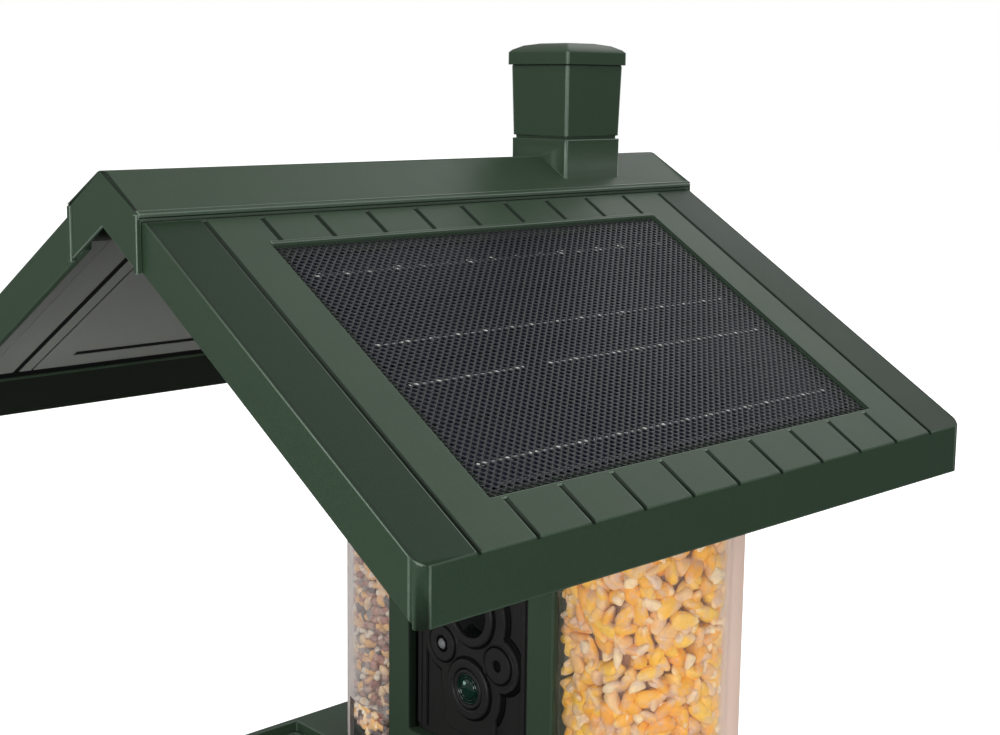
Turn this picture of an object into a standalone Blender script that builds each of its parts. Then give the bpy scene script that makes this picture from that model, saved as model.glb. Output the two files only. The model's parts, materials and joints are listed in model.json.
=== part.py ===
"""Bird feeder with a gabled solar roof, two clear seed hoppers and a slide-out camera.

Metres, +Z up. X is across the front, Y runs along the ridge to the back, and the origin is on the
ground under the middle of the roof.
"""

import math

import bmesh
import bpy
from mathutils import Matrix, Vector

# Roof
ridge_height = 0.278        # where the two slope surfaces would meet
roof_pitch = math.radians(30.75)
roof_half_width = 0.1491
roof_half_length = 0.125
roof_skin = 0.003
fascia_height = 0.0164
fascia_wall = 0.0026
gable_reach = 0.007             # behind the cap's gable fascia
corner_round = 0.0038
plank_pitch = 0.02095
plank_groove_width = 0.0014
plank_groove_depth = 0.0006
plank_groove_start = -0.0018   # from the pivot
planks_each_side = 5
corner_steps = 5

# Solar window, measured down the slope from the ridge line
window_top = 0.0417
window_eave_border = 0.0165
window_gable_border = 0.0367
window_ledge = 0.004
screen_depth = 0.0012
screen_thickness = 0.0006
cell_thickness = 0.0012
cell_margin = 0.0015

# Grey lining under each slope
liner_top = 0.036
liner_eave_border = 0.011
liner_gable_border = 0.0065
liner_thickness = 0.0012
liner_rim_width = 0.0024

# Ridge cap
cap_half_width = 0.0215
cap_overhang = 0.0015
cap_rise = 0.0013
cap_skin = 0.0024
cap_bead_rise = 0.0007
cap_bead_width = 0.002
cap_fascia_height = 0.0178
cap_fascia_wall = 0.0012
cap_edge_bead = 0.0006

# Slope hinges
barrel_radius = 0.0049
barrel_depth = 0.004           # from the slope's surface to the pivot
hinge_pin_radius = 0.0012
hinge_pin_inset = 0.0153
lug_radius = 0.0022
lug_half_width = 0.003
lug_neck_half = 0.0014
lug_drop = 0.008
lug_reach_half = 0.0021
lug_end_inset = 0.035
notch_swing_room = 0.0012

# Ridge beam
beam_half_width = 0.013
beam_drop = 0.032               # below the ridge line
beam_end_inset = 0.027
pedestal_half_width = 0.03
pedestal_inset = 0.005

# Chimney
chimney_end_inset = 0.0489     # from the roof's back edge
chimney_base_half = 0.015
chimney_base_height = 0.0074   # above the ridge line
chimney_reveal = 0.0012
chimney_neck_half = 0.0137
chimney_neck_depth = 0.004
chimney_foot_half = 0.0147
chimney_head_half = 0.0154
chimney_head_height = 0.0354   # above the ridge line
chimney_wall = 0.0016
chimney_edge = 0.001
lid_half = 0.0164
lid_thickness = 0.0047
lid_dome = 0.0035
lid_tier_shares = ((1.0, 0.3), (0.8, 0.75), (0.5, 1.0))   # of the lid's half width and the dome's rise
lid_plug_depth = 0.003
eye_stem_radius = 0.003
eye_collar_radius = 0.006
eye_collar_height = 0.002
eye_ring_radius = 0.0065
eye_wire_radius = 0.002
eye_height = 0.023             # above the ridge line
eye_socket_depth = 0.008

# Column between the hoppers
column_half_width = 0.0475
column_front = 0.0255
column_bottom = 0.0243
column_drop = 0.046             # from the ridge line to the column's top
column_depth = 0.0685
frame_depth = 0.005
column_wall = 0.003
bay_half_width = 0.0345
bay_bottom = 0.044
bay_top = 0.18
shelf_thickness = 0.003
service_half_width = 0.022
service_bottom = 0.07
service_drop = 0.047            # from the column's top
cover_overlap = 0.006
cover_thickness = 0.0022
board_half_width = 0.025
board_drop = 0.012
board_height = 0.027
board_thickness = 0.0016
board_boss = 0.0024
board_boss_half = 0.004
board_chip_shares = (0.4, 0.1)   # of the board's half width, to the left and to the right
board_chip_rise = 0.0019

# Wall bracket
bracket_root_half = 0.02
bracket_root_drop = 0.004       # from the column's top
bracket_root_height = 0.034
bracket_plate = 0.004
bracket_arm_half = 0.012
bracket_arm_drop = 0.01
bracket_arm_height = 0.022
bracket_flange_half = 0.03
bracket_flange_height = 0.052
bracket_hole_radius = 0.0023
bracket_hole_inset = 0.007

# Hoppers
hopper_side_shift = 0.0145      # from the column's side to the hopper's axis
hopper_front_shift = 0.0345     # from the column's front
hopper_radius = 0.0354
hopper_wall = 0.002
hopper_drop = 0.032             # from the column's top
outlet_half_width = 0.014
outlet_top = 0.045
baffle_inset = 0.008
baffle_angle = math.radians(47.8)
baffle_wall = 0.0014
seed_headroom = 0.032
chute_low = 0.029
chute_high = 0.062
chute_lip_front = 0.015
chute_lip_half_width = 0.013
chute_lip_thickness = 0.003

# Base and tray
base_side_margin = 0.0146       # outside the hoppers
base_back_margin = 0.0046
base_front = -0.088
base_bottom = 0.003
base_top = 0.024
base_wall = 0.003
deck_front = 0.023
access_half_width = 0.05
access_inset = 0.016
tray_side_gap = 0.0004
tray_wall = 0.0025
tray_top = 0.02
drain_half_width = 0.06
drain_front_inset = 0.018
drain_back_inset = 0.017
drain_lap = 0.004
drain_thickness = 0.001
perch_radius = 0.004
perch_reach = 0.018
perch_z = 0.017
perch_half_length = 0.075
perch_arm_x = 0.055
perch_arm_half = 0.004
perch_pad_half = 0.008
perch_pad_thickness = 0.003
foot_radius = 0.008
foot_inset = 0.014

# Camera module
module_half_width = 0.0335
module_front = 0.03
module_back = 0.08
module_seam = 0.05
module_top = 0.178
module_wall = 0.002
module_face = 0.003
module_corner = 0.003
rib_half_width = 0.001
rib_rise = 0.0012
rib_inner_x = 0.0285
rib_outer_x = 0.0315
gasket_wall = 0.0016
gasket_half_depth = 0.0025
island_rise = 0.002
island_upper_radius = 0.0194
island_lower_radius = 0.017
island_boss_radius = 0.011
island_foot_half = 0.0145
island_foot_bottom = 0.052
sensor_z = 0.1025
sensor_ring_radius = 0.0135
sensor_spigot_radius = 0.0115
sensor_bore_radius = 0.0098
sensor_can_radius = 0.0045
lens_z = 0.0715
lens_ring_radius = 0.012
lens_spigot_radius = 0.01
lens_bore_radius = 0.0083
lens_barrel_radius = 0.008
lens_cone_shares = (0.45, 0.85)
ring_flange = 0.0013
ring_spigot_depth = 0.0055
ring_edge_share = 0.4
glass_recess = 0.0008
window_crown_shares = (0.5, 0.35)
glass_thickness = 0.0015
boss_x = 0.016
boss_z = 0.0855
boss_radius = 0.007
boss_rise = 0.0008
light_radius = 0.0032
light_dome_share = 0.7
microphone_radius = 0.0022
insert_depth = 0.002
circuit_half_width = 0.027
circuit_bottom = 0.056
circuit_top = 0.172
circuit_front = 0.0443
cell_radius = 0.0092
cell_length = 0.065
cell_x = 0.0115
cell_y = 0.06
cell_bottom = 0.062
nub_radius = 0.0028
nub_height = 0.0015
holder_half_width = 0.0235
holder_end = 0.0034
post_radius = 0.0032
post_x = 0.022
post_z = 0.158
button_x = 0.014
control_z = 0.15
button_radius = 0.005
button_proud = 0.0016
button_edge_share = 0.3
button_travel = 0.0012
button_collar = 0.0015
button_collar_height = 0.0012
button_stem_radius = 0.002
socket_x = -0.012
socket_half_width = 0.0046
socket_half_height = 0.0018
socket_wall = 0.0004
socket_mouth_depth = 0.006
socket_corner_shares = (0.9, 0.7)
flap_half_width = 0.008
flap_half_height = 0.0045
flap_thickness = 0.0012

# Screws
screw_head_radius = 0.0032
screw_head_height = 0.0016
screw_shank_radius = 0.0014
screw_length = 0.009
screw_edge_share = 0.6
screw_crown_share = 0.8
drive_radius = 0.0014
drive_depth = 0.0008

# Working values
clearance = 0.0003
overrun = 0.002
weld_distance = 0.00001
round_sides = 28
cell_sides = 24
small_round_sides = 16
wire_sides = 10

slope_cos = math.cos(roof_pitch)
slope_sin = math.sin(roof_pitch)
slope_end = roof_half_width / slope_cos
window_bottom = slope_end - window_eave_border
window_half_length = roof_half_length - window_gable_border
liner_bottom = slope_end - liner_eave_border
liner_half_length = roof_half_length - liner_gable_border
cap_half_length = roof_half_length + cap_overhang
cap_lip = cap_half_width / slope_cos
pivot_slope = cap_lip + barrel_depth + clearance
pivot_x = pivot_slope * slope_cos - barrel_depth * slope_sin
pivot_z = ridge_height - pivot_slope * slope_sin - barrel_depth * slope_cos
cap_end = cap_half_length + cap_edge_bead
hinge_pin_half_length = roof_half_length - hinge_pin_inset
lug_spacing = roof_half_length - lug_end_inset
beam_bottom = ridge_height - beam_drop
beam_half_length = roof_half_length - beam_end_inset
chimney_y = roof_half_length - chimney_end_inset
column_top = ridge_height - column_drop
column_back = column_front + column_depth
service_top = column_top - service_drop
board_top = column_top - board_drop
board_bottom = board_top - board_height
bracket_back = cap_end
bracket_root_top = column_top - bracket_root_drop
bracket_root_bottom = bracket_root_top - bracket_root_height
bracket_arm_top = column_top - bracket_arm_drop
bracket_arm_bottom = bracket_arm_top - bracket_arm_height
bracket_flange_top = column_top
bracket_flange_bottom = bracket_flange_top - bracket_flange_height
hopper_x = column_half_width + hopper_side_shift
hopper_y = column_front + hopper_front_shift
hopper_top = column_top - hopper_drop
seed_top = hopper_top - seed_headroom
base_half_width = hopper_x + hopper_radius + base_side_margin
base_back = hopper_y + hopper_radius + base_back_margin
tray_half_width = base_half_width - base_wall - tray_side_gap
drain_front = base_front + drain_front_inset
drain_back = deck_front - drain_back_inset
perch_y = base_front - perch_reach
screen_surface = -screen_depth - screen_thickness
tray_back = deck_front - clearance
circuit_back = circuit_front + board_thickness
module_bottom = bay_bottom + clearance
hopper_bottom = base_top + clearance


def clear_scene():
    for obj in list(bpy.data.objects):
        bpy.data.objects.remove(obj, do_unlink=True)
    for mesh in list(bpy.data.meshes):
        bpy.data.meshes.remove(mesh)


def plastic(name, colour, roughness=0.45, metallic=0.0, transmission=0.0):
    material = bpy.data.materials.new(name)
    material.use_nodes = True
    shader = material.node_tree.nodes["Principled BSDF"]
    shader.inputs["Base Color"].default_value = (*colour, 1.0)
    shader.inputs["Roughness"].default_value = roughness
    shader.inputs["Metallic"].default_value = metallic
    shader.inputs["Transmission Weight"].default_value = transmission
    material.diffuse_color = (*colour, 1.0)
    return material


def add_object(name, bm, material=None, parent=None, location=(0, 0, 0), turn=(0, 0, 0)):
    """One object from a bmesh, with its faces pointing outwards."""
    bmesh.ops.recalc_face_normals(bm, faces=bm.faces)
    mesh = bpy.data.meshes.new(name)
    bm.to_mesh(mesh)
    bm.free()
    obj = bpy.data.objects.new(name, mesh)
    bpy.context.scene.collection.objects.link(obj)
    obj.location = location
    obj.rotation_euler = turn
    obj.parent = parent
    if material:
        mesh.materials.append(material)
        mesh.shade_smooth()
        mesh.set_sharp_from_angle(angle=math.radians(32))
    return obj


def helper(name, bm, like):
    """A hidden cutting or joining shape, in the same frame as the object it works on."""
    obj = add_object(name, bm, parent=like.parent, location=like.location, turn=like.rotation_euler)
    obj.hide_render = True
    obj.display_type = "WIRE"
    return obj


def combine(target, operation, label, bm):
    modifier = target.modifiers.new(label, "BOOLEAN")
    modifier.operation = operation
    modifier.solver = "EXACT"
    modifier.object = helper(f"{target.name}_{label}", bm, target)


def cut(target, label, bm):
    combine(target, "DIFFERENCE", label, bm)


def join(target, label, bm):
    combine(target, "UNION", label, bm)


def block(x0, x1, y0, y1, z0, z1, into=None):
    bm = into or bmesh.new()
    size = Vector((x1 - x0, y1 - y0, z1 - z0))
    middle = Vector((x0 + x1, y0 + y1, z0 + z1)) / 2
    bmesh.ops.create_cube(bm, size=1, matrix=Matrix.Translation(middle) @ Matrix.Diagonal((*size, 1)))
    return bm


def prism(outline, axis, start, end, into=None):
    """An outline of point pairs, swept from start to end along the axis x, y or z."""
    bm = into or bmesh.new()
    place = {
        "x": lambda a, b: (start, a, b),
        "y": lambda a, b: (a, start, b),
        "z": lambda a, b: (a, b, start),
    }[axis]
    face = bm.faces.new([bm.verts.new(place(a, b)) for a, b in outline])
    swept = bmesh.ops.extrude_face_region(bm, geom=[face])
    along = {"x": Vector((1, 0, 0)), "y": Vector((0, 1, 0)), "z": Vector((0, 0, 1))}[axis]
    moved = [v for v in swept["geom"] if isinstance(v, bmesh.types.BMVert)]
    bmesh.ops.translate(bm, verts=moved, vec=along * (end - start))
    return bm


def circle(a, b, radius, sides=round_sides):
    steps = [2 * math.pi * i / sides for i in range(sides)]
    return [(a + radius * math.cos(t), b + radius * math.sin(t)) for t in steps]


def rounded(a0, a1, b0, b1, radius, sides=4):
    """The outline of a rectangle with round corners."""
    points = []
    corners = ((a1, b1, 0), (a0, b1, 1), (a0, b0, 2), (a1, b0, 3))
    for a, b, quarter in corners:
        centre_a = a - math.copysign(radius, a - (a0 + a1) / 2)
        centre_b = b - math.copysign(radius, b - (b0 + b1) / 2)
        for i in range(sides + 1):
            t = (quarter + i / sides) * math.pi / 2
            points.append((centre_a + radius * math.cos(t), centre_b + radius * math.sin(t)))
    return points


def turned(profile, axis, centre, sides=round_sides):
    """A solid of revolution: the profile holds radius and distance along the axis y or z."""
    bm = bmesh.new()
    along = Vector((0, 1, 0)) if axis == "y" else Vector((0, 0, 1))
    across = Vector((1, 0, 0))
    points = [Vector(centre) + across * r + along * h for r, h in profile]
    verts = [bm.verts.new(p) for p in points]
    closed = profile[0][0] > 0
    pairs = list(zip(verts, verts[1:] + verts[:1])) if closed else list(zip(verts, verts[1:]))
    edges = [bm.edges.new(pair) for pair in pairs]
    bmesh.ops.spin(bm, geom=verts + edges, cent=centre, axis=along, angle=2 * math.pi,
                   steps=sides, use_merge=True)
    bmesh.ops.remove_doubles(bm, verts=bm.verts, dist=weld_distance)
    return bm


def screw(name, material, tip, along):
    """A pan-head screw: tip is where its head seats, and along is +1 or -1 on Y, out of the work."""
    seat = tip[1]
    profile = [
        (0, -screw_length),
        (screw_shank_radius, -screw_length),
        (screw_shank_radius, 0),
        (screw_head_radius, 0),
        (screw_head_radius, screw_head_height * screw_edge_share),
        (screw_head_radius * screw_crown_share, screw_head_height),
        (drive_radius, screw_head_height),
        (drive_radius, screw_head_height - drive_depth),
        (0, screw_head_height - drive_depth),
    ]
    bm = turned([(r, h * along) for r, h in profile], "y", (0, 0, 0), small_round_sides)
    return add_object(name, bm, material, location=(tip[0], seat, tip[2]))


def barrel_arc():
    """The hinge barrel's share of a slope's outline, from its surface round to the skin's underside."""
    start = math.pi - math.asin(barrel_depth / barrel_radius)
    end = 2 * math.pi + math.asin((barrel_depth - roof_skin) / barrel_radius)
    steps = [start + (end - start) * i / round_sides for i in range(round_sides + 1)]
    return [(barrel_radius * math.cos(t), barrel_radius * math.sin(t)) for t in steps]


def slope_outline(points):
    """Outline points given down the slope and up from its surface, moved to the hinge's frame."""
    return [(s - pivot_slope, n + barrel_depth) for s, n in points]


def down(point, drop):
    """A slope-frame point lowered straight down by drop."""
    return (point[0] + drop * slope_sin, point[1] - drop * slope_cos)


def inward(point, shift):
    """A slope-frame point moved level towards the ridge by shift."""
    return (point[0] - shift * slope_cos, point[1] - shift * slope_sin)


def slope_point(s, n=0.0):
    """World X and Z of a point on the right slope."""
    return (s * slope_cos + n * slope_sin, ridge_height - s * slope_sin + n * slope_cos)


def plank_places():
    return [plank_pitch * i for i in range(-planks_each_side, planks_each_side + 1)]


def roof_slope(side, turn, materials):
    """One hinged slope with its hinge pin, solar screen, cells and lining. Both slopes are one shape."""
    sign = 1 if side == "right" else -1
    place = {"location": (sign * pivot_x, 0, pivot_z), "turn": (0, roof_pitch, turn)}
    eave = (slope_end, 0)
    eave_low = down(eave, fascia_height)
    inner_low = inward(eave_low, fascia_wall)
    inner_high = ((roof_half_width - fascia_wall + roof_skin * slope_sin) / slope_cos, -roof_skin)
    outline = barrel_arc() + slope_outline([inner_high, inner_low, eave_low, eave])
    bm = prism(outline, "y", -roof_half_length, roof_half_length)
    panel = add_object(f"roof_panel_{side}", bm, materials["roof"], **place)
    gable_top = inward((pivot_slope, -barrel_depth), pivot_x - cap_half_width + gable_reach)
    gable_eave = ((roof_half_width - fascia_wall / 2) / slope_cos, 0)
    gable_low = [down(gable_eave, fascia_height),
                 down(((cap_half_width - gable_reach) / slope_cos, 0), fascia_height)]
    gable = [(pivot_slope, -roof_skin / 2), down(gable_eave, roof_skin / 2), *gable_low, gable_top]
    for label, end in (("front_gable", -1), ("back_gable", 1)):
        outer = end * roof_half_length
        join(panel, label, prism(slope_outline(gable), "y", outer, outer - end * fascia_wall))
    bore_half = hinge_pin_half_length + clearance
    cut(panel, "bore", prism(circle(0, 0, hinge_pin_radius + clearance, small_round_sides), "y",
                             -bore_half, bore_half))
    notch_half = lug_half_width + clearance
    notch_room = lug_radius + clearance + clearance
    for label, y in lug_places():
        low, high = y - notch_half, y + notch_half
        cut(panel, f"notch_round_{label}", prism(circle(0, 0, notch_room), "y", low, high))
        cut(panel, f"notch_{label}", block(-barrel_radius - overrun, notch_room, low, high,
                                           -barrel_radius - overrun, notch_swing_room))
    hole = slope_window(window_top + window_ledge, window_bottom - window_ledge)
    hole_half = window_half_length - window_ledge
    cut(panel, "window", block(*hole, -hole_half, hole_half, 0, barrel_depth + overrun))
    recess = slope_window(window_top, window_bottom)
    recess_floor = barrel_depth + screen_surface - clearance
    cut(panel, "recess", block(*recess, -window_half_length, window_half_length,
                               recess_floor, barrel_depth + overrun))
    cut(panel, "planks", plank_grooves())
    for label, end in (("front_corner", -1), ("back_corner", 1)):
        cut(panel, label, corner_waste(end))

    gap = clearance
    top = barrel_depth + screen_surface
    bm = block(recess[0] + gap, recess[1] - gap, -window_half_length + gap, window_half_length - gap,
               top, top + screen_thickness)
    add_object(f"solar_screen_{side}", bm, materials["screen"], panel)
    cells = slope_window(window_top - cell_margin, window_bottom + cell_margin)
    cell_half = window_half_length + cell_margin
    cell_top = barrel_depth - roof_skin - gap
    bm = block(*cells, -cell_half, cell_half, cell_top - cell_thickness, cell_top)
    add_object(f"solar_panel_{side}", bm, materials["cells"], panel)

    liner = slope_window(liner_top, liner_bottom)
    liner_high = cell_top - cell_thickness - gap
    bm = block(*liner, -liner_half_length, liner_half_length, liner_high - liner_thickness, liner_high)
    lining = add_object(f"roof_lining_{side}", bm, materials["lining"], panel)
    rim_top = barrel_depth - roof_skin - gap
    outer = block(*liner, -liner_half_length, liner_half_length, liner_high - liner_thickness, rim_top)
    join(lining, "rim", outer)
    inset = liner_rim_width
    inner_half = liner_half_length - inset
    above = block(liner[0] + inset, liner[1] - inset, -inner_half, inner_half, liner_high, rim_top + overrun)
    cut(lining, "cell_pocket", above)

    rod = prism(circle(0, 0, hinge_pin_radius, small_round_sides), "y",
                -hinge_pin_half_length, hinge_pin_half_length)
    add_object(f"hinge_pin_{side}", rod, materials["steel"], location=(sign * pivot_x, 0, pivot_z))


def corner_waste(end):
    """What rounding the upright corner of the eave takes off, in the hinge's frame."""
    outer_x, outer_y = roof_half_width + overrun, end * (roof_half_length + overrun)
    centre_x, centre_y = roof_half_width - corner_round, end * (roof_half_length - corner_round)
    turns = [math.pi / 2 * i / corner_steps for i in range(corner_steps + 1)]
    arc = [(centre_x + corner_round * math.cos(t), centre_y + end * corner_round * math.sin(t))
           for t in turns]
    outline = [arc[0], (outer_x, arc[0][1]), (outer_x, outer_y), (arc[-1][0], outer_y), *reversed(arc[1:])]
    low = ridge_height - roof_half_width - fascia_height
    bm = prism(outline, "z", low, ridge_height)
    into_hinge = Matrix.Rotation(-roof_pitch, 4, "Y") @ Matrix.Translation((-pivot_x, 0, -pivot_z))
    bmesh.ops.transform(bm, matrix=into_hinge, verts=bm.verts)
    return bm


def slope_window(top, bottom):
    return (top - pivot_slope, bottom - pivot_slope)


def lug_places():
    return (("front", -lug_spacing), ("middle", 0), ("back", lug_spacing))


def plank_grooves():
    """The grooves between planks: whole ones past the window's ends, short ones above and below it."""
    bm = bmesh.new()
    low = barrel_depth - plank_groove_depth
    high = barrel_depth + overrun
    first = plank_groove_start
    last = slope_end - pivot_slope + overrun
    top, bottom = slope_window(window_top, window_bottom)
    margin = plank_groove_width
    for y in plank_places():
        y0, y1 = y - plank_groove_width / 2, y + plank_groove_width / 2
        if abs(y) > window_half_length:
            block(first, last, y0, y1, low, high, bm)
        else:
            block(first, top - margin, y0, y1, low, high, bm)
            block(bottom + margin, last, y0, y1, low, high, bm)
    return bm


def chevron(half_width, rise, depth):
    """World X and Z outline of a band that follows both slopes and is depth deep, straight down."""
    peak = ridge_height + rise / slope_cos
    edge = peak - half_width * slope_sin / slope_cos
    return [(0, peak), (half_width, edge), (half_width, edge - depth), (0, peak - depth),
            (-half_width, edge - depth), (-half_width, edge)]


def ridge_cap(materials):
    """The fixed cap over the ridge, with its own short gable fascias and the chimney's square base."""
    def side_points(sign):
        lip, rise, bead = cap_lip, cap_rise, cap_bead_rise
        points = [(lip - cap_bead_width - bead, rise), (lip - cap_bead_width, rise + bead),
                  (lip, rise + bead), (lip, rise - cap_skin)]
        return [(sign * slope_point(s, n)[0], slope_point(s, n)[1]) for s, n in points]

    peak = ridge_height + cap_rise / slope_cos
    right, left = side_points(1), side_points(-1)
    outline = [(0, peak), *right, (0, peak - cap_skin / slope_cos), *reversed(left)]
    bm = prism(outline, "y", -cap_half_length, cap_half_length)
    cap = add_object("ridge_cap", bm, materials["roof"])
    fascia = chevron(cap_half_width, cap_rise, cap_fascia_height)
    for label, end in (("front", -1), ("back", 1)):
        face = end * cap_half_length
        join(cap, f"{label}_fascia", prism(fascia, "y", face, face - end * cap_fascia_wall))
        for name, sign in (("left", -1), ("right", 1)):
            x0, x1 = sorted((sign * cap_half_width, sign * (cap_half_width - cap_bead_width)))
            top = peak - cap_half_width * slope_sin / slope_cos
            bead = block(x0, x1, *sorted((end * cap_end, face - end * cap_fascia_wall)),
                         top - cap_fascia_height, top)
            join(cap, f"{label}_{name}_bead", bead)
    half = chimney_base_half
    top = ridge_height + chimney_base_height
    foot = ridge_height - half * slope_sin / slope_cos
    base = rounded(-half, half, chimney_y - half, chimney_y + half, chimney_edge, 2)
    join(cap, "chimney_base", prism(base, "z", foot, top))
    below = gable_below(half + overrun, foot - chimney_base_half, 0)
    cut(cap, "below_base", prism(below, "y", chimney_y - half - overrun, chimney_y + half + overrun))
    pocket = chimney_neck_half + clearance
    pocket_depth = chimney_neck_depth + clearance
    cut(cap, "chimney_pocket", block(-pocket, pocket, chimney_y - pocket, chimney_y + pocket,
                                     top - pocket_depth, top + overrun))
    bore = circle(0, chimney_y, eye_stem_radius + clearance, small_round_sides)
    cut(cap, "eye_bore", prism(bore, "z", foot - cap_skin - overrun, top + overrun))


def gable_below(half_width, level, gap):
    """X and Z outline of a solid that fills the space under the cap's skin down to level."""
    peak = ridge_height + (cap_rise - cap_skin - gap) / slope_cos
    edge = peak - half_width * slope_sin / slope_cos
    return [(0, peak), (half_width, edge), (half_width, level), (-half_width, level), (-half_width, edge)]


def ridge_beam(materials):
    """The beam that carries the cap, and whose lugs hold both hinge pins from below."""
    outline = gable_below(beam_half_width, beam_bottom, clearance)
    bm = prism(outline, "y", -beam_half_length, beam_half_length)
    beam = add_object("ridge_beam", bm, materials["lining"])
    pedestal = block(-pedestal_half_width, pedestal_half_width, column_front + pedestal_inset,
                     column_back - pedestal_inset, column_top + clearance, beam_bottom + overrun)
    join(beam, "pedestal", pedestal)
    elbow_x = pivot_x - lug_drop * slope_sin
    elbow_z = pivot_z - lug_drop * slope_cos
    across = (lug_neck_half * slope_cos, -lug_neck_half * slope_sin)
    neck = [(pivot_x + across[0], pivot_z + across[1]), (elbow_x + across[0], elbow_z + across[1]),
            (elbow_x - across[0], elbow_z - across[1]), (pivot_x - across[0], pivot_z - across[1])]
    for side, sign in (("right", 1), ("left", -1)):
        for label, y in lug_places():
            low, high = y - lug_half_width, y + lug_half_width
            x0, x1 = sorted((sign * (beam_half_width - overrun), sign * (elbow_x + across[0])))
            join(beam, f"reach_{side}_{label}",
                 block(x0, x1, low, high, elbow_z - lug_reach_half * 2, elbow_z))
            join(beam, f"neck_{side}_{label}", prism([(sign * x, z) for x, z in neck], "y", low, high))
            join(beam, f"eye_{side}_{label}",
                 prism(circle(sign * pivot_x, pivot_z, lug_radius), "y", low, high))
        bore = circle(sign * pivot_x, pivot_z, hinge_pin_radius + clearance, small_round_sides)
        cut(beam, f"pin_bore_{side}", prism(bore, "y", -hinge_pin_half_length, hinge_pin_half_length))
    socket = circle(0, chimney_y, eye_stem_radius + clearance, small_round_sides)
    floor = eye_foot() - clearance
    cut(beam, "eye_socket", prism(socket, "z", floor, ridge_height))


def eye_foot():
    return ridge_height + (cap_rise - cap_skin) / slope_cos - eye_socket_depth


def eye_bolt(materials):
    """The hanging eye that stands in the ridge beam, hidden by the lift-off chimney."""
    collar = ridge_height + chimney_base_height - chimney_neck_depth
    profile = [(0, eye_foot()), (eye_stem_radius, eye_foot()), (eye_stem_radius, collar),
               (eye_collar_radius, collar), (eye_collar_radius, collar + eye_collar_height),
               (eye_stem_radius, collar + eye_collar_height),
               (eye_stem_radius, ridge_height + eye_height - eye_ring_radius),
               (0, ridge_height + eye_height - eye_ring_radius)]
    bm = turned(profile, "z", (0, chimney_y, 0), small_round_sides)
    eye = add_object("hanging_eye", bm, materials["steel"])
    ring = bmesh.new()
    section = circle(eye_ring_radius, 0, eye_wire_radius, wire_sides)
    centre = Vector((0, chimney_y, ridge_height + eye_height))
    verts = [ring.verts.new(centre + Vector((a, b, 0))) for a, b in section]
    edges = [ring.edges.new(pair) for pair in zip(verts, verts[1:] + verts[:1])]
    bmesh.ops.spin(ring, geom=verts + edges, cent=centre, axis=(0, 1, 0), angle=2 * math.pi,
                   steps=small_round_sides, use_merge=True)
    join(eye, "ring", ring)


def chimney(materials):
    """The lift-off chimney: a tapered square shaft with a neck that drops into its base, and a lid."""
    seat = ridge_height + chimney_base_height
    foot = seat + chimney_reveal
    head = ridge_height + chimney_head_height
    bm = bmesh.new()
    lower = rounded(-chimney_foot_half, chimney_foot_half, -chimney_foot_half, chimney_foot_half,
                    chimney_edge, 2)
    ratio = chimney_head_half / chimney_foot_half
    rings = [[bm.verts.new((x * k, y * k, z)) for x, y in lower] for k, z in ((1, 0), (ratio, head - foot))]
    bm.faces.new(rings[0])
    bm.faces.new(rings[1])
    bmesh.ops.bridge_loops(bm, edges=[e for e in bm.edges if e.verts[0].co.z == e.verts[1].co.z])
    shaft = add_object("chimney_shaft", bm, materials["roof"], location=(0, chimney_y, foot))
    neck = chimney_neck_half
    join(shaft, "neck", block(-neck, neck, -neck, neck, -chimney_reveal - chimney_neck_depth, overrun))
    hollow = neck - chimney_wall
    cut(shaft, "hollow", block(-hollow, hollow, -hollow, hollow,
                               -chimney_reveal - chimney_neck_depth - overrun, head - foot + overrun))

    lid_low = head + clearance - foot
    outline = rounded(-lid_half, lid_half, -lid_half, lid_half, chimney_edge, 2)
    lid = add_object("chimney_lid", prism(outline, "z", lid_low, lid_low + lid_thickness),
                     materials["roof"], shaft)
    dome = bmesh.new()
    inner = lid_half - chimney_edge
    tiers = [(lid_half, 0)] + [(inner * width, lid_dome * rise) for width, rise in lid_tier_shares]
    loops = []
    for half, rise in tiers:
        tier = rounded(-half, half, -half, half, chimney_edge, 2)
        loops.append([dome.verts.new((x, y, lid_low + lid_thickness + rise)) for x, y in tier])
    low = [dome.verts.new((v.co.x, v.co.y, lid_low + lid_thickness / 2)) for v in loops[0]]
    loops.insert(0, low)
    for first, second in zip(loops, loops[1:]):
        for i in range(len(first)):
            j = (i + 1) % len(first)
            dome.faces.new((first[i], first[j], second[j], second[i]))
    dome.faces.new(loops[0])
    dome.faces.new(loops[-1])
    join(lid, "dome", dome)
    plug = hollow - clearance
    join(lid, "plug", block(-plug, plug, -plug, plug, lid_low - lid_plug_depth, lid_low + overrun))


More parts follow.
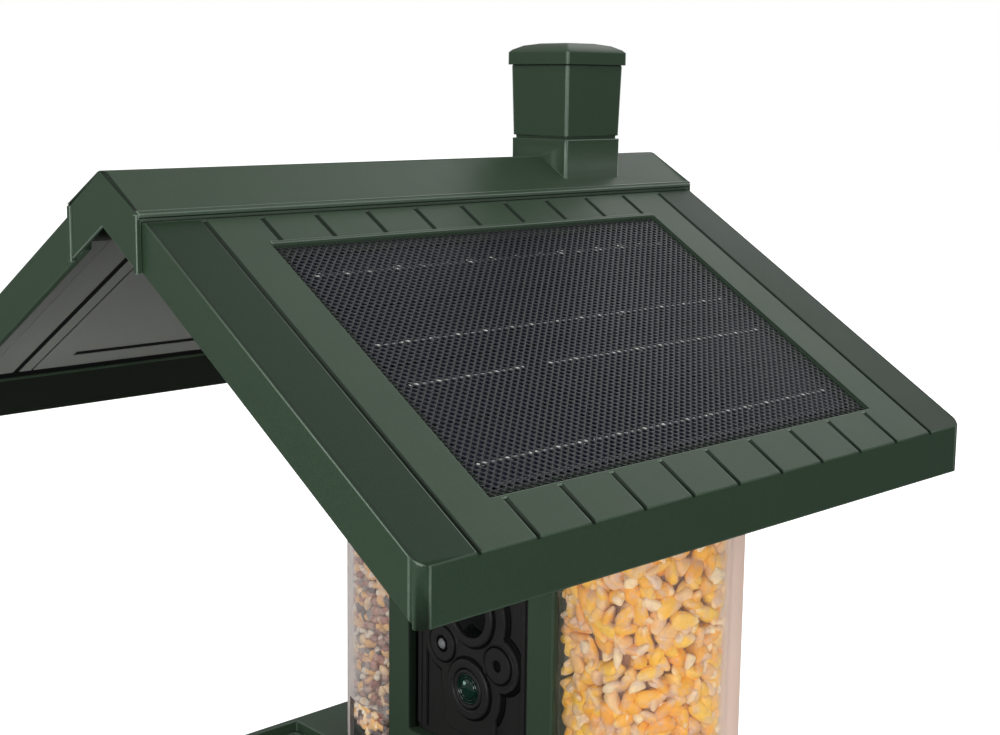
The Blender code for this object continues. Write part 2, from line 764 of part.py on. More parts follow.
def column(materials):
    """The green front frame and the shell behind it, which hold the camera and part the hoppers."""
    half = column_half_width
    bm = block(-half, half, column_front, column_front + frame_depth, column_bottom, column_top)
    frame = add_object("column_frame", bm, materials["body"])
    cut(frame, "bay", block(-bay_half_width, bay_half_width, column_front - overrun,
                            column_front + frame_depth + overrun, bay_bottom, bay_top))
    front = column_front + frame_depth + clearance
    bm = block(-half, half, front, column_back, column_bottom, column_top)
    shell = add_object("column_shell", bm, materials["body"])
    inner = half - column_wall
    back = column_back - column_wall
    board_back = back - board_boss - clearance
    cut(shell, "hollow", block(-inner, inner, front - overrun, back,
                               column_bottom + column_wall, column_top - column_wall))
    join(shell, "shelf", block(-inner - overrun / 2, inner + overrun / 2, front, back + overrun / 2,
                               bay_bottom - shelf_thickness, bay_bottom))
    cut(shell, "service", block(-service_half_width, service_half_width, back - overrun,
                                column_back + overrun, service_bottom, service_top))
    for side, sign in (("right", 1), ("left", -1)):
        x = sign * (board_half_width - board_boss_half)
        z = (board_bottom + board_top) / 2
        join(shell, f"board_boss_{side}", block(x - board_boss_half, x + board_boss_half,
                                                back - board_boss, back + overrun / 2,
                                                z - board_boss_half, z + board_boss_half))
        for label, place in bracket_screws():
            hole = circle(sign * place[0], place[1], screw_shank_radius + clearance, small_round_sides)
            cut(shell, f"{label}_hole_{side}", prism(hole, "y", board_back, column_back + overrun))
    for label, z in cover_screws():
        hole = circle(0, z, screw_shank_radius + clearance, small_round_sides)
        cut(shell, f"cover_hole_{label}", prism(hole, "y", back - overrun, column_back + overrun))
    bm = block(-board_half_width, board_half_width, board_back - board_thickness, board_back,
               board_bottom, board_top)
    board = add_object("charge_board", bm, materials["circuit"])
    chip_left, chip_right = board_chip_shares
    chip = block(-board_half_width * chip_left, board_half_width * chip_right,
                 board_back - board_thickness - board_chip_rise, board_back - board_thickness / 2,
                 board_bottom + cover_overlap, board_top - cover_overlap)
    join(board, "chip", chip)


def cover_screws():
    return (("low", service_bottom - cover_overlap), ("high", service_top + cover_overlap / 2))


def bracket_screws():
    inset = bracket_root_half - bracket_hole_inset / 2
    return (("bracket", (inset, (bracket_root_bottom + bracket_root_top) / 2)),)


def rear_cover(materials):
    half = service_half_width + cover_overlap
    low = service_bottom - cover_overlap * 2
    high = service_top + cover_overlap
    face = column_back + clearance
    outline = rounded(-half, half, low, high, corner_round)
    cover = add_object("rear_cover", prism(outline, "y", face, face + cover_thickness), materials["body"])
    plug = service_half_width - clearance
    join(cover, "plug", block(-plug, plug, column_back - column_wall, face + cover_thickness / 2,
                              service_bottom + clearance, service_top - clearance))
    for label, z in cover_screws():
        hole = circle(0, z, screw_shank_radius + clearance, small_round_sides)
        cut(cover, f"hole_{label}", prism(hole, "y", face - overrun, face + cover_thickness + overrun))
        screw(f"cover_screw_{label}", materials["steel"], (0, face + cover_thickness + clearance, z), 1)


def wall_bracket(materials):
    """A screwed-on arm that reaches out past the roof to a wall or post."""
    near = column_back + clearance
    bm = block(-bracket_root_half, bracket_root_half, near, near + bracket_plate,
               bracket_root_bottom, bracket_root_top)
    bracket = add_object("wall_bracket", bm, materials["frame"])
    join(bracket, "arm", block(-bracket_arm_half, bracket_arm_half, near + bracket_plate / 2,
                               bracket_back - bracket_plate / 2, bracket_arm_bottom, bracket_arm_top))
    flange = rounded(-bracket_flange_half, bracket_flange_half, bracket_flange_bottom,
                     bracket_flange_top, corner_round)
    join(bracket, "flange", prism(flange, "y", bracket_back - bracket_plate, bracket_back))
    x = bracket_flange_half - bracket_hole_inset
    for level, z in (("low", bracket_flange_bottom + bracket_hole_inset),
                     ("high", bracket_flange_top - bracket_hole_inset)):
        for side, sign in (("right", 1), ("left", -1)):
            hole = circle(sign * x, z, bracket_hole_radius, small_round_sides)
            cut(bracket, f"wall_hole_{side}_{level}",
                prism(hole, "y", bracket_back - bracket_plate - overrun, bracket_back + overrun))
    for label, (x, z) in bracket_screws():
        for side, sign in (("right", 1), ("left", -1)):
            hole = circle(sign * x, z, screw_shank_radius + clearance, small_round_sides)
            cut(bracket, f"root_hole_{side}",
                prism(hole, "y", near - overrun, near + bracket_plate + overrun))
            screw(f"{label}_screw_{side}", materials["steel"],
                  (sign * x, near + bracket_plate + clearance, z), 1)


def hopper_outline(radius, chord, sign):
    """A circle about the hopper's axis, cut off flat at chord on the column's side."""
    reach = math.acos((chord - hopper_x) / radius)
    count = round_sides
    angles = [-reach + 2 * reach * i / count for i in range(count + 1)]
    return [(sign * (hopper_x + radius * math.cos(t)), hopper_y + radius * math.sin(t)) for t in angles]


def beyond_baffle(distance, sign):
    """A block that holds everything farther than distance from the hopper's axis, at the baffle."""
    bm = block(distance, hopper_radius * 2, -hopper_radius * 2, hopper_radius * 2,
               hopper_bottom - overrun, hopper_top + overrun)
    bmesh.ops.rotate(bm, verts=bm.verts, cent=(0, 0, 0), matrix=Matrix.Rotation(baffle_angle, 3, "Z"))
    bmesh.ops.translate(bm, verts=bm.verts, vec=(hopper_x, hopper_y, 0))
    if sign < 0:
        bmesh.ops.scale(bm, verts=bm.verts, vec=(-1, 1, 1))
    return bm


def hopper(side, seeds, materials):
    """A clear C-shaped hopper against the column, its sloping chute and the seed inside it."""
    sign = 1 if side == "right" else -1
    chord = column_half_width + clearance
    inner = hopper_radius - hopper_wall
    reach = math.acos((chord - hopper_x) / hopper_radius)
    inner_reach = math.acos((chord - hopper_x) / inner)
    count = round_sides + 4
    outer_arc = [(hopper_radius, -reach + 2 * reach * i / count) for i in range(count + 1)]
    inner_arc = [(inner, inner_reach - 2 * inner_reach * i / count) for i in range(count + 1)]
    outline = [(sign * (hopper_x + r * math.cos(t)), hopper_y + r * math.sin(t))
               for r, t in outer_arc + inner_arc]
    shell = add_object(f"hopper_{side}", prism(outline, "z", hopper_bottom, hopper_top), materials["clear"])
    distance = hopper_radius - baffle_inset
    half_chord = math.sqrt(inner ** 2 - distance ** 2) + hopper_wall / 2
    plate = block(distance - baffle_wall, distance, -half_chord, half_chord,
                  hopper_bottom + overrun, hopper_top)
    bmesh.ops.rotate(plate, verts=plate.verts, cent=(0, 0, 0), matrix=Matrix.Rotation(baffle_angle, 3, "Z"))
    bmesh.ops.translate(plate, verts=plate.verts, vec=(hopper_x, hopper_y, 0))
    if sign < 0:
        bmesh.ops.scale(plate, verts=plate.verts, vec=(-1, 1, 1))
    join(shell, "baffle", plate)
    x0, x1 = sorted((sign * (hopper_x - outlet_half_width), sign * (hopper_x + outlet_half_width)))
    cut(shell, "outlet", block(x0, x1, hopper_y - hopper_radius - overrun, hopper_y - inner / 2,
                               hopper_bottom - overrun, outlet_top))

    room = inner - clearance
    inside = hopper_outline(room, chord + clearance, sign)
    front = hopper_y - room
    back = hopper_y + room
    chute = add_object(f"seed_chute_{side}", prism(inside, "z", hopper_bottom, chute_high + overrun),
                       materials["chute"])
    ramp_top = chute_high + overrun + overrun
    ramp = [(front - overrun, chute_low), (back + overrun, chute_high),
            (back + overrun, ramp_top), (front - overrun, ramp_top)]
    x0, x1 = sign * (column_half_width - overrun), sign * (hopper_x + hopper_radius)
    cut(chute, "ramp", prism(ramp, "x", *sorted((x0, x1))))
    cut(chute, "baffle_room", beyond_baffle(distance - baffle_wall - clearance, sign))
    lip = chute_lip_half_width
    join(chute, "lip", block(sign * hopper_x - lip, sign * hopper_x + lip, chute_lip_front,
                             hopper_y - inner / 2, hopper_bottom, hopper_bottom + chute_lip_thickness))

    fill = add_object(seeds, prism(inside, "z", hopper_bottom, seed_top), materials[seeds])
    gap = clearance / slope_cos
    under = [(front - overrun, chute_low + gap), (back + overrun, chute_high + gap),
             (back + overrun, hopper_bottom - overrun), (front - overrun, hopper_bottom - overrun)]
    cut(fill, "ramp", prism(under, "x", *sorted((x0, x1))))
    cut(fill, "baffle_room", beyond_baffle(distance - baffle_wall - clearance, sign))


def base(materials):
    """The base: an open bay in front for the tray and a raised deck behind that carries the hoppers."""
    half = base_half_width
    outline = rounded(-half, half, base_front, base_back, corner_round)
    pan = add_object("base", prism(outline, "z", base_bottom, base_top), materials["body"])
    inner = half - base_wall
    floor = base_bottom + base_wall
    cut(pan, "tray_bay", block(-inner, inner, base_front - overrun, deck_front, floor, base_top + overrun))
    cut(pan, "deck_hollow", block(-inner, inner, deck_front + base_wall, base_back - base_wall,
                                  floor, base_top - base_wall))
    front = deck_front + base_wall + access_inset
    back = base_back - base_wall - access_inset
    cut(pan, "access", block(-access_half_width, access_half_width, front, back,
                             base_bottom - overrun, floor + overrun))
    x = half - foot_inset
    for label, y in (("front", base_front + foot_inset), ("back", base_back - foot_inset)):
        for side, sign in (("right", 1), ("left", -1)):
            bm = prism(circle(sign * x, y, foot_radius, cell_sides), "z", 0, base_bottom - clearance)
            add_object(f"foot_{label}_{side}", bm, materials["rubber"])


def seed_tray(materials):
    """The pull-out tray with its drain screen and the perch on its front."""
    half = tray_half_width
    low = base_bottom + base_wall + clearance
    outline = rounded(-half, half, base_front, tray_back, corner_round)
    tray = add_object("seed_tray", prism(outline, "z", low, tray_top), materials["tray"])
    inner = half - tray_wall
    cut(tray, "inside", block(-inner, inner, base_front + tray_wall, tray_back - tray_wall,
                              low + tray_wall, tray_top + overrun))
    cut(tray, "drain", block(-drain_half_width, drain_half_width, drain_front, drain_back,
                             low - overrun, low + tray_wall + overrun))
    floor = low + tray_wall + clearance
    bm = block(-drain_half_width - drain_lap, drain_half_width + drain_lap, drain_front - drain_lap,
               drain_back + drain_lap, floor, floor + drain_thickness)
    add_object("drain_screen", bm, materials["screen"])
    rod = prism(circle(perch_y, perch_z, perch_radius, small_round_sides), "x",
                -perch_half_length, perch_half_length)
    perch = add_object("perch", rod, materials["body"])
    pad_back = base_front - clearance
    for side, sign in (("right", 1), ("left", -1)):
        x = sign * perch_arm_x
        join(perch, f"arm_{side}", block(x - perch_arm_half, x + perch_arm_half, perch_y,
                                         pad_back - perch_pad_thickness / 2,
                                         perch_z - perch_radius / 2, perch_z + perch_radius / 2))
        z0 = perch_z - perch_pad_half
        join(perch, f"pad_{side}", block(x - perch_pad_half, x + perch_pad_half,
                                         pad_back - perch_pad_thickness, pad_back, z0, tray_top))


def island_outline():
    """The raised face round both lenses: two lobes, two side bosses and a foot, as one set of shapes."""
    return (("upper", circle(0, sensor_z, island_upper_radius)),
            ("lower", circle(0, lens_z, island_lower_radius)),
            ("right", circle(boss_x, boss_z, island_boss_radius, small_round_sides)),
            ("left", circle(-boss_x, boss_z, island_boss_radius, small_round_sides)))


def camera_module(materials):
    """The slide-out camera: two shells with their seal, and what they hold."""
    half = module_half_width
    face = module_front
    bm = prism(rounded(-half, half, module_bottom, module_top, module_corner), "y", face, module_seam)
    front = add_object("camera_front", bm, materials["camera"])
    inner = half - module_wall
    low, high = module_bottom + module_wall, module_top - module_wall
    cut(front, "hollow", block(-inner, inner, face + module_face, module_seam + overrun, low, high))
    for label, outline in island_outline():
        join(front, f"island_{label}", prism(outline, "y", face - island_rise, face + module_face / 2))
    foot = block(-island_foot_half, island_foot_half, face - island_rise, face + module_face / 2,
                 island_foot_bottom, lens_z)
    join(front, "island_foot", foot)
    for side, sign in (("right", 1), ("left", -1)):
        boss = circle(sign * boss_x, boss_z, boss_radius)
        join(front, f"boss_{side}", prism(boss, "y", face - island_rise - boss_rise, face + module_face / 2))
        for place, x in (("inner", rib_inner_x), ("outer", rib_outer_x)):
            rib = block(sign * x - rib_half_width, sign * x + rib_half_width, face - rib_rise,
                        face + module_face / 2, module_bottom + module_corner, module_top - module_corner)
            join(front, f"rib_{place}_{side}", rib)
    through = {
        "sensor": circle(0, sensor_z, sensor_spigot_radius + clearance),
        "lens": circle(0, lens_z, lens_spigot_radius + clearance),
        "light": circle(-boss_x, boss_z, light_radius + clearance, small_round_sides),
        "microphone": circle(boss_x, boss_z, microphone_radius + clearance, small_round_sides),
        "button": circle(button_x, control_z, button_radius + clearance, small_round_sides),
        "socket": rounded(socket_x - socket_half_width - clearance, socket_x + socket_half_width + clearance,
                          control_z - socket_half_height - clearance,
                          control_z + socket_half_height + clearance, socket_half_height),
    }
    for label, outline in through.items():
        cut(front, f"{label}_hole", prism(outline, "y", face - island_rise - boss_rise - overrun,
                                          face + module_face + overrun))

    back_start = module_seam + clearance
    bm = prism(rounded(-half, half, module_bottom, module_top, module_corner), "y", back_start, module_back)
    rear = add_object("camera_back", bm, materials["camera"], front)
    cut(rear, "hollow", block(-inner, inner, back_start - overrun, module_back - module_wall, low, high))
    for side, sign in (("right", 1), ("left", -1)):
        post = circle(sign * post_x, post_z, post_radius, small_round_sides)
        join(rear, f"post_{side}", prism(post, "y", circuit_back + clearance, module_back - module_wall / 2))
        bore = circle(sign * post_x, post_z, screw_shank_radius + clearance, small_round_sides)
        cut(rear, f"post_bore_{side}", prism(bore, "y", module_back - screw_length - overrun,
                                             module_back + overrun))
        cap = screw(f"camera_screw_{side}", materials["steel"],
                    (sign * post_x, module_back + clearance, post_z), 1)
        cap.parent = front

    outer = inner - clearance
    hole = outer - gasket_wall
    bm = block(-outer, outer, module_seam - gasket_half_depth, module_seam + gasket_half_depth,
               low + clearance, high - clearance)
    gasket = add_object("camera_seal", bm, materials["rubber"], front)
    cut(gasket, "inside", block(-hole, hole, module_seam - gasket_half_depth - overrun,
                                module_seam + gasket_half_depth + overrun,
                                low + clearance + gasket_wall, high - clearance - gasket_wall))
    camera_optics(front, materials)
    camera_inside(front, materials)
    camera_controls(front, materials)


def flanged_ring(flange_radius, spigot_radius, bore_radius):
    """A ring's profile: its flange lies on the island's face and its spigot goes through the shell."""
    seat = module_front - island_rise - clearance
    step = ring_flange * ring_edge_share
    return [(bore_radius, seat - ring_flange + step), (bore_radius + step, seat - ring_flange),
            (flange_radius - step, seat - ring_flange), (flange_radius, seat - ring_flange + step),
            (flange_radius, seat), (spigot_radius, seat), (spigot_radius, seat + ring_spigot_depth),
            (bore_radius, seat + ring_spigot_depth)]


def camera_optics(front, materials):
    seat = module_front - island_rise - clearance
    glass_front = seat - ring_flange + glass_recess
    glass_back = glass_front + glass_thickness
    ring = turned(flanged_ring(sensor_ring_radius, sensor_spigot_radius, sensor_bore_radius), "y",
                  (0, 0, sensor_z))
    add_object("motion_ring", ring, materials["camera"], front)
    radius = sensor_bore_radius - clearance
    crown_radius, crown_rise = window_crown_shares
    dome = [(0, glass_front - glass_recess / 2),
            (radius * crown_radius, glass_front - glass_recess * crown_rise),
            (radius, glass_front + glass_recess / 2), (radius, glass_back), (0, glass_back)]
    add_object("motion_window", turned(dome, "y", (0, 0, sensor_z)), materials["dark_glass"], front)
    can = [(0, glass_back + clearance), (sensor_can_radius, glass_back + clearance),
           (sensor_can_radius, circuit_front - clearance), (0, circuit_front - clearance)]
    add_object("motion_sensor", turned(can, "y", (0, 0, sensor_z), small_round_sides),
               materials["steel"], front)
    ring = turned(flanged_ring(lens_ring_radius, lens_spigot_radius, lens_bore_radius), "y", (0, 0, lens_z))
    add_object("lens_ring", ring, materials["camera"], front)
    radius = lens_bore_radius - clearance
    pane = [(0, glass_front), (radius, glass_front), (radius, glass_back), (0, glass_back)]
    add_object("lens_window", turned(pane, "y", (0, 0, lens_z)), materials["lens_glass"], front)
    start = glass_back + clearance
    radius = lens_barrel_radius
    eye, cone = (radius * share for share in lens_cone_shares)
    barrel = [(0, start + glass_thickness), (eye, start + glass_thickness), (cone, start),
              (radius, start), (radius, circuit_front - clearance), (0, circuit_front - clearance)]
    add_object("lens_barrel", turned(barrel, "y", (0, 0, lens_z)), materials["camera"], front)
    boss_face = module_front - island_rise - boss_rise
    radius = light_radius
    light = [(0, boss_face - boss_rise), (radius * light_dome_share, boss_face - boss_rise / 2),
             (radius, boss_face + boss_rise / 2), (radius, boss_face + insert_depth),
             (0, boss_face + insert_depth)]
    add_object("status_light", turned(light, "y", (-boss_x, 0, boss_z), small_round_sides),
               materials["light"], front)
    radius = microphone_radius
    recess = boss_face + insert_depth / 2
    disc = [(0, recess), (radius, recess), (radius, recess + insert_depth), (0, recess + insert_depth)]
    add_object("microphone", turned(disc, "y", (boss_x, 0, boss_z), small_round_sides),
               materials["steel"], front)


def camera_inside(front, materials):
    bm = block(-circuit_half_width, circuit_half_width, circuit_front, circuit_back,
               circuit_bottom, circuit_top)
    board = add_object("main_board", bm, materials["circuit"], front)
    chip_low = (lens_z + sensor_z) / 2 + sensor_can_radius
    chip = block(-cell_radius, cell_radius, circuit_back - board_thickness / 2,
                 circuit_back + board_thickness, sensor_z + cell_radius, control_z - cell_radius)
    join(board, "chip", chip)
    cell_top = cell_bottom + cell_length
    for label, sign in (("right", 1), ("left", -1)):
        profile = [(0, cell_bottom), (cell_radius, cell_bottom), (cell_radius, cell_top - nub_height),
                   (nub_radius, cell_top - nub_height), (nub_radius, cell_top), (0, cell_top)]
        cell = turned(profile, "z", (sign * cell_x, cell_y, 0), cell_sides)
        add_object(f"battery_{label}", cell, materials["battery"], front)
    back = module_back - module_wall - clearance
    low = cell_bottom - holder_end
    high = cell_top + holder_end
    bm = block(-holder_half_width, holder_half_width, circuit_back + clearance, back, low, high)
    holder = add_object("battery_holder", bm, materials["holder"], front)
    room = cell_radius + clearance
    for label, sign in (("right", 1), ("left", -1)):
        bay = circle(sign * cell_x, cell_y, room, cell_sides)
        cut(holder, f"cell_{label}", prism(bay, "z", cell_bottom - clearance, cell_top + clearance))
    cut(holder, "mouth", block(-cell_x - room, cell_x + room, circuit_back + clearance - overrun, cell_y,
                               cell_bottom - clearance, cell_top + clearance))
    cut(holder, "chip_room", block(-cell_radius - overrun, cell_radius + overrun,
                                   circuit_back, circuit_back + board_thickness + overrun / 2,
                                   chip_low, high + overrun))


def camera_controls(front, materials):
    face = module_front
    rest = face + module_face + clearance
    stem_end = circuit_front - clearance - button_travel
    rise = button_proud * button_edge_share
    collar = button_radius + button_collar
    profile = [(0, face - button_proud), (button_radius - rise, face - button_proud),
               (button_radius, face - button_proud + rise), (button_radius, rest),
               (collar, rest), (collar, rest + button_collar_height),
               (button_stem_radius, rest + button_collar_height), (button_stem_radius, stem_end),
               (0, stem_end)]
    button = turned([(r, y - face) for r, y in profile], "y", (0, 0, 0), cell_sides)
    add_object("power_button", button, materials["button"], front, (button_x, face, control_z))

    outer_corner, mouth_corner = (socket_half_height * share for share in socket_corner_shares)
    outline = rounded(socket_x - socket_half_width, socket_x + socket_half_width,
                      control_z - socket_half_height, control_z + socket_half_height, outer_corner)
    mouth = rounded(socket_x - socket_half_width + socket_wall, socket_x + socket_half_width - socket_wall,
                    control_z - socket_half_height + socket_wall,
                    control_z + socket_half_height - socket_wall, mouth_corner)
    start = face + clearance
    socket = add_object("charging_socket", prism(outline, "y", start, circuit_front - clearance),
                        materials["steel"], front)
    cut(socket, "mouth", prism(mouth, "y", start - overrun, start + socket_mouth_depth))

    thickness = flap_thickness
    hinge_y = face - clearance - thickness / 2
    flap = prism(rounded(-flap_half_width, flap_half_width, -flap_half_height * 2, 0, thickness / 2), "y",
                 -thickness / 2, thickness / 2)
    add_object("socket_cover", flap, materials["rubber"], front,
               (socket_x, hinge_y, control_z + flap_half_height))


def build():
    clear_scene()
    materials = {
        "roof": plastic("roof_green", (0.045, 0.078, 0.048), 0.5),
        "body": plastic("body_green", (0.04, 0.06, 0.045), 0.5),
        "frame": plastic("frame_green", (0.025, 0.04, 0.028), 0.55),
        "screen": plastic("screen_black", (0.02, 0.02, 0.024), 0.5),
        "cells": plastic("solar_blue", (0.012, 0.016, 0.035), 0.15),
        "lining": plastic("lining_grey", (0.1, 0.1, 0.095), 0.5),
        "clear": plastic("clear_plastic", (0.9, 0.92, 0.93), 0.05, transmission=1.0),
        "corn_fill": plastic("corn_yellow", (0.8, 0.4, 0.1), 0.4),
        "mixed_seed_fill": plastic("mixed_seed", (0.3, 0.2, 0.14), 0.6),
        "chute": plastic("chute_grey", (0.05, 0.055, 0.05), 0.5),
        "tray": plastic("tray_green", (0.04, 0.06, 0.045), 0.5),
        "camera": plastic("camera_black", (0.016, 0.017, 0.018), 0.4),
        "dark_glass": plastic("dark_glass", (0.006, 0.007, 0.008), 0.05),
        "lens_glass": plastic("lens_glass", (0.02, 0.05, 0.04), 0.03),
        "light": plastic("status_white", (0.7, 0.72, 0.72), 0.3),
        "circuit": plastic("circuit_green", (0.01, 0.12, 0.05), 0.4),
        "battery": plastic("battery_blue", (0.02, 0.08, 0.25), 0.35),
        "holder": plastic("holder_black", (0.02, 0.02, 0.02), 0.5),
        "button": plastic("button_grey", (0.08, 0.08, 0.08), 0.5),
        "rubber": plastic("rubber_black", (0.015, 0.015, 0.015), 0.8),
        "steel": plastic("steel", (0.6, 0.6, 0.6), 0.3, 1.0),
    }
    roof_slope("right", 0, materials)
    roof_slope("left", math.pi, materials)
    ridge_cap(materials)
    ridge_beam(materials)
    eye_bolt(materials)
    chimney(materials)
    column(materials)
    rear_cover(materials)
    wall_bracket(materials)
    hopper("right", "corn_fill", materials)
    hopper("left", "mixed_seed_fill", materials)
    base(materials)
    seed_tray(materials)
    camera_module(materials)


build()
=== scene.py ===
import json
import math
import random

import bmesh
import bpy
from mathutils import Matrix, Vector


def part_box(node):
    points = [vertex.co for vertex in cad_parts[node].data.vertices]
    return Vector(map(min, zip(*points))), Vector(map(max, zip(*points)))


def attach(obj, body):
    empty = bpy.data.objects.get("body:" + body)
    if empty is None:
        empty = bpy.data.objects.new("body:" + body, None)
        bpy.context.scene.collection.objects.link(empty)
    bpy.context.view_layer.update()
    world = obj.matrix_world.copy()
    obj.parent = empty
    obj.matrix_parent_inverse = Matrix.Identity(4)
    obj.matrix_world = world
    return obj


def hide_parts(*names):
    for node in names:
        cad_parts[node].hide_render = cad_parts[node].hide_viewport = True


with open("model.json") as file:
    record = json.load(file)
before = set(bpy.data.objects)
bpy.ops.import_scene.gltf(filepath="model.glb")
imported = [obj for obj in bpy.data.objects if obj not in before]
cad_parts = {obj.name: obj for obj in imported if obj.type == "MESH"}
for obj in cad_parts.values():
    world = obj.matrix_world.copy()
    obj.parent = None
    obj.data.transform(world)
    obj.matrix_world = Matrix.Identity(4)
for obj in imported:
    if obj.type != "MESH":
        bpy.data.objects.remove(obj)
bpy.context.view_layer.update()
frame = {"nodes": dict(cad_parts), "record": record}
nodes = frame["nodes"]
bodyOf = {node: body for body, names in frame["record"]["behaviour"]["bodies"].items() for node in names}
print("frame loaded:", len(nodes), "nodes")

# lengths in metres: X across the front, Y along the ridge to the back, Z up
roof = {
    "ridgeHeight": 0.278,
    "pitch": math.radians(30.75),
    "halfWidth": 0.1491,
    "halfLength": 0.125,
    "plankPitch": 0.02095,
    "planksEachSide": 5,
    "windowTop": 0.0417,        # down the slope from the ridge line
    "windowBottom": 0.157,
    "windowHalfLength": 0.0883,
    "capLip": 0.025,
}
slopeEnd = roof["halfWidth"] / math.cos(roof["pitch"])


# effects that several finishes share

def feed(tree, node, values):
    # each value is a number, a colour or another node's output
    for key, value in values.items():
        if isinstance(value, bpy.types.NodeSocket):
            tree.links.new(value, node.inputs[key])
        else:
            node.inputs[key].default_value = value
    return node


def addNode(tree, kind, values=None, **settings):
    node = tree.nodes.new(kind)
    for key, value in settings.items():
        setattr(node, key, value)
    return feed(tree, node, values or {})


def doMath(tree, operation, *values, clamp=False):
    node = addNode(tree, "ShaderNodeMath", dict(enumerate(values)), operation=operation, use_clamp=clamp)
    return node.outputs[0]


def remap(tree, value, low, high, start, end, **settings):
    node = addNode(tree, "ShaderNodeMapRange", {"Value": value, "From Min": low, "From Max": high,
                                                "To Min": start, "To Max": end}, **settings)
    return node.outputs["Result"]


def ownPlace(tree, output="Object"):
    return addNode(tree, "ShaderNodeTexCoord").outputs[output]


def noiseOf(tree, scale, detail, roughness=0.5):
    node = addNode(tree, "ShaderNodeTexNoise", {"Vector": ownPlace(tree), "Scale": scale, "Detail": detail,
                                                "Roughness": roughness})
    return node.outputs["Fac"]


def partOf(tree, vector, letter):
    return addNode(tree, "ShaderNodeSeparateXYZ", {0: vector}).outputs[letter]


def mixColour(tree, factor, first, second):
    node = addNode(tree, "ShaderNodeMix", {"Factor": factor, 6: first, 7: second}, data_type="RGBA")
    return node.outputs[2]


def mixValue(tree, factor, first, second):
    node = addNode(tree, "ShaderNodeMix", {"Factor": factor, "A": first, "B": second}, data_type="FLOAT")
    return node.outputs["Result"]


def newGroup(name, inputs, outputs):
    group = bpy.data.node_groups.new(name, "ShaderNodeTree")
    for label, value in inputs.items():
        kind = "NodeSocketColor" if isinstance(value, tuple) else "NodeSocketFloat"
        group.interface.new_socket(name=label, in_out="INPUT", socket_type=kind).default_value = value
    for label, kind in outputs.items():
        group.interface.new_socket(name=label, in_out="OUTPUT", socket_type=kind)
    return group, group.nodes.new("NodeGroupInput").outputs, group.nodes.new("NodeGroupOutput")


def makeGrainGroup():
    # moulded plastic: cloudy tone, fine speckle, uneven gloss and a fine grain for the bump
    group, given, out = newGroup("mouldedGrain", {
        "Colour": (0.5, 0.5, 0.5, 1), "Cloud": 0.1, "Speckle": 0.1, "Speckle Scale": 900, "Roughness": 0.4,
        "Gloss Change": 0.1,
    }, {"Colour": "NodeSocketColor", "Roughness": "NodeSocketFloat", "Height": "NodeSocketFloat"})
    cloud = doMath(group, "SUBTRACT", noiseOf(group, 28, 4, 0.55), 0.5)
    speckle = doMath(group, "SUBTRACT", noiseOf(group, given["Speckle Scale"], 2, 0.7), 0.5)
    cloudShade = doMath(group, "MULTIPLY", cloud, given["Cloud"])
    speckleShade = doMath(group, "MULTIPLY", speckle, given["Speckle"])
    strength = doMath(group, "ADD", doMath(group, "ADD", cloudShade, speckleShade), 1.0)
    tone = addNode(group, "ShaderNodeHueSaturation", {"Value": strength, "Color": given["Colour"]})
    gloss = doMath(group, "MULTIPLY_ADD", cloud, given["Gloss Change"], given["Roughness"])
    feed(group, out, {"Colour": tone.outputs["Color"], "Roughness": gloss, "Height": noiseOf(group, 2600, 1)})
    return group


def makeEdgeGroup():
    # where a surface turns sharply, broken up by noise, as rubbed arrises are
    group, given, out = newGroup("edgeWear", {"Radius": 0.0006, "Amount": 0.5},
                                 {"Mask": "NodeSocketFloat", "Normal": "NodeSocketVector"})
    rounded = addNode(group, "ShaderNodeBevel", {"Radius": given["Radius"]}, samples=4).outputs["Normal"]
    flat = addNode(group, "ShaderNodeNewGeometry").outputs["Normal"]
    dot = addNode(group, "ShaderNodeVectorMath", {0: rounded, 1: flat}, operation="DOT_PRODUCT")
    turn = remap(group, dot.outputs["Value"], 0.995, 0.8, 0, 1)
    broken = remap(group, noiseOf(group, 160, 4), 0.3, 0.7, 0.35, 1)
    mask = doMath(group, "MULTIPLY", doMath(group, "MULTIPLY", turn, broken), given["Amount"], clamp=True)
    feed(group, out, {"Mask": mask, "Normal": rounded})
    return group


def makeDustGroup():
    # fine dust that settles on what faces up
    group, given, out = newGroup("dustFilm", {"Amount": 0.1}, {"Mask": "NodeSocketFloat"})
    up = remap(group, partOf(group, ownPlace(group, "Normal"), "Z"), 0.3, 1.0, 0, 1)
    patch = remap(group, noiseOf(group, 70, 6, 0.7), 0.35, 0.75, 0.2, 1)
    mask = doMath(group, "MULTIPLY", doMath(group, "MULTIPLY", up, patch), given["Amount"], clamp=True)
    feed(group, out, {"Mask": mask})
    return group


grainGroup, edgeGroup, dustGroup = makeGrainGroup(), makeEdgeGroup(), makeDustGroup()


def useGroup(tree, group, values):
    return addNode(tree, "ShaderNodeGroup", values, node_tree=group)


def newFinish(name):
    material = bpy.data.materials.new(name)
    material.use_nodes = True
    return material, material.node_tree, material.node_tree.nodes["Principled BSDF"]


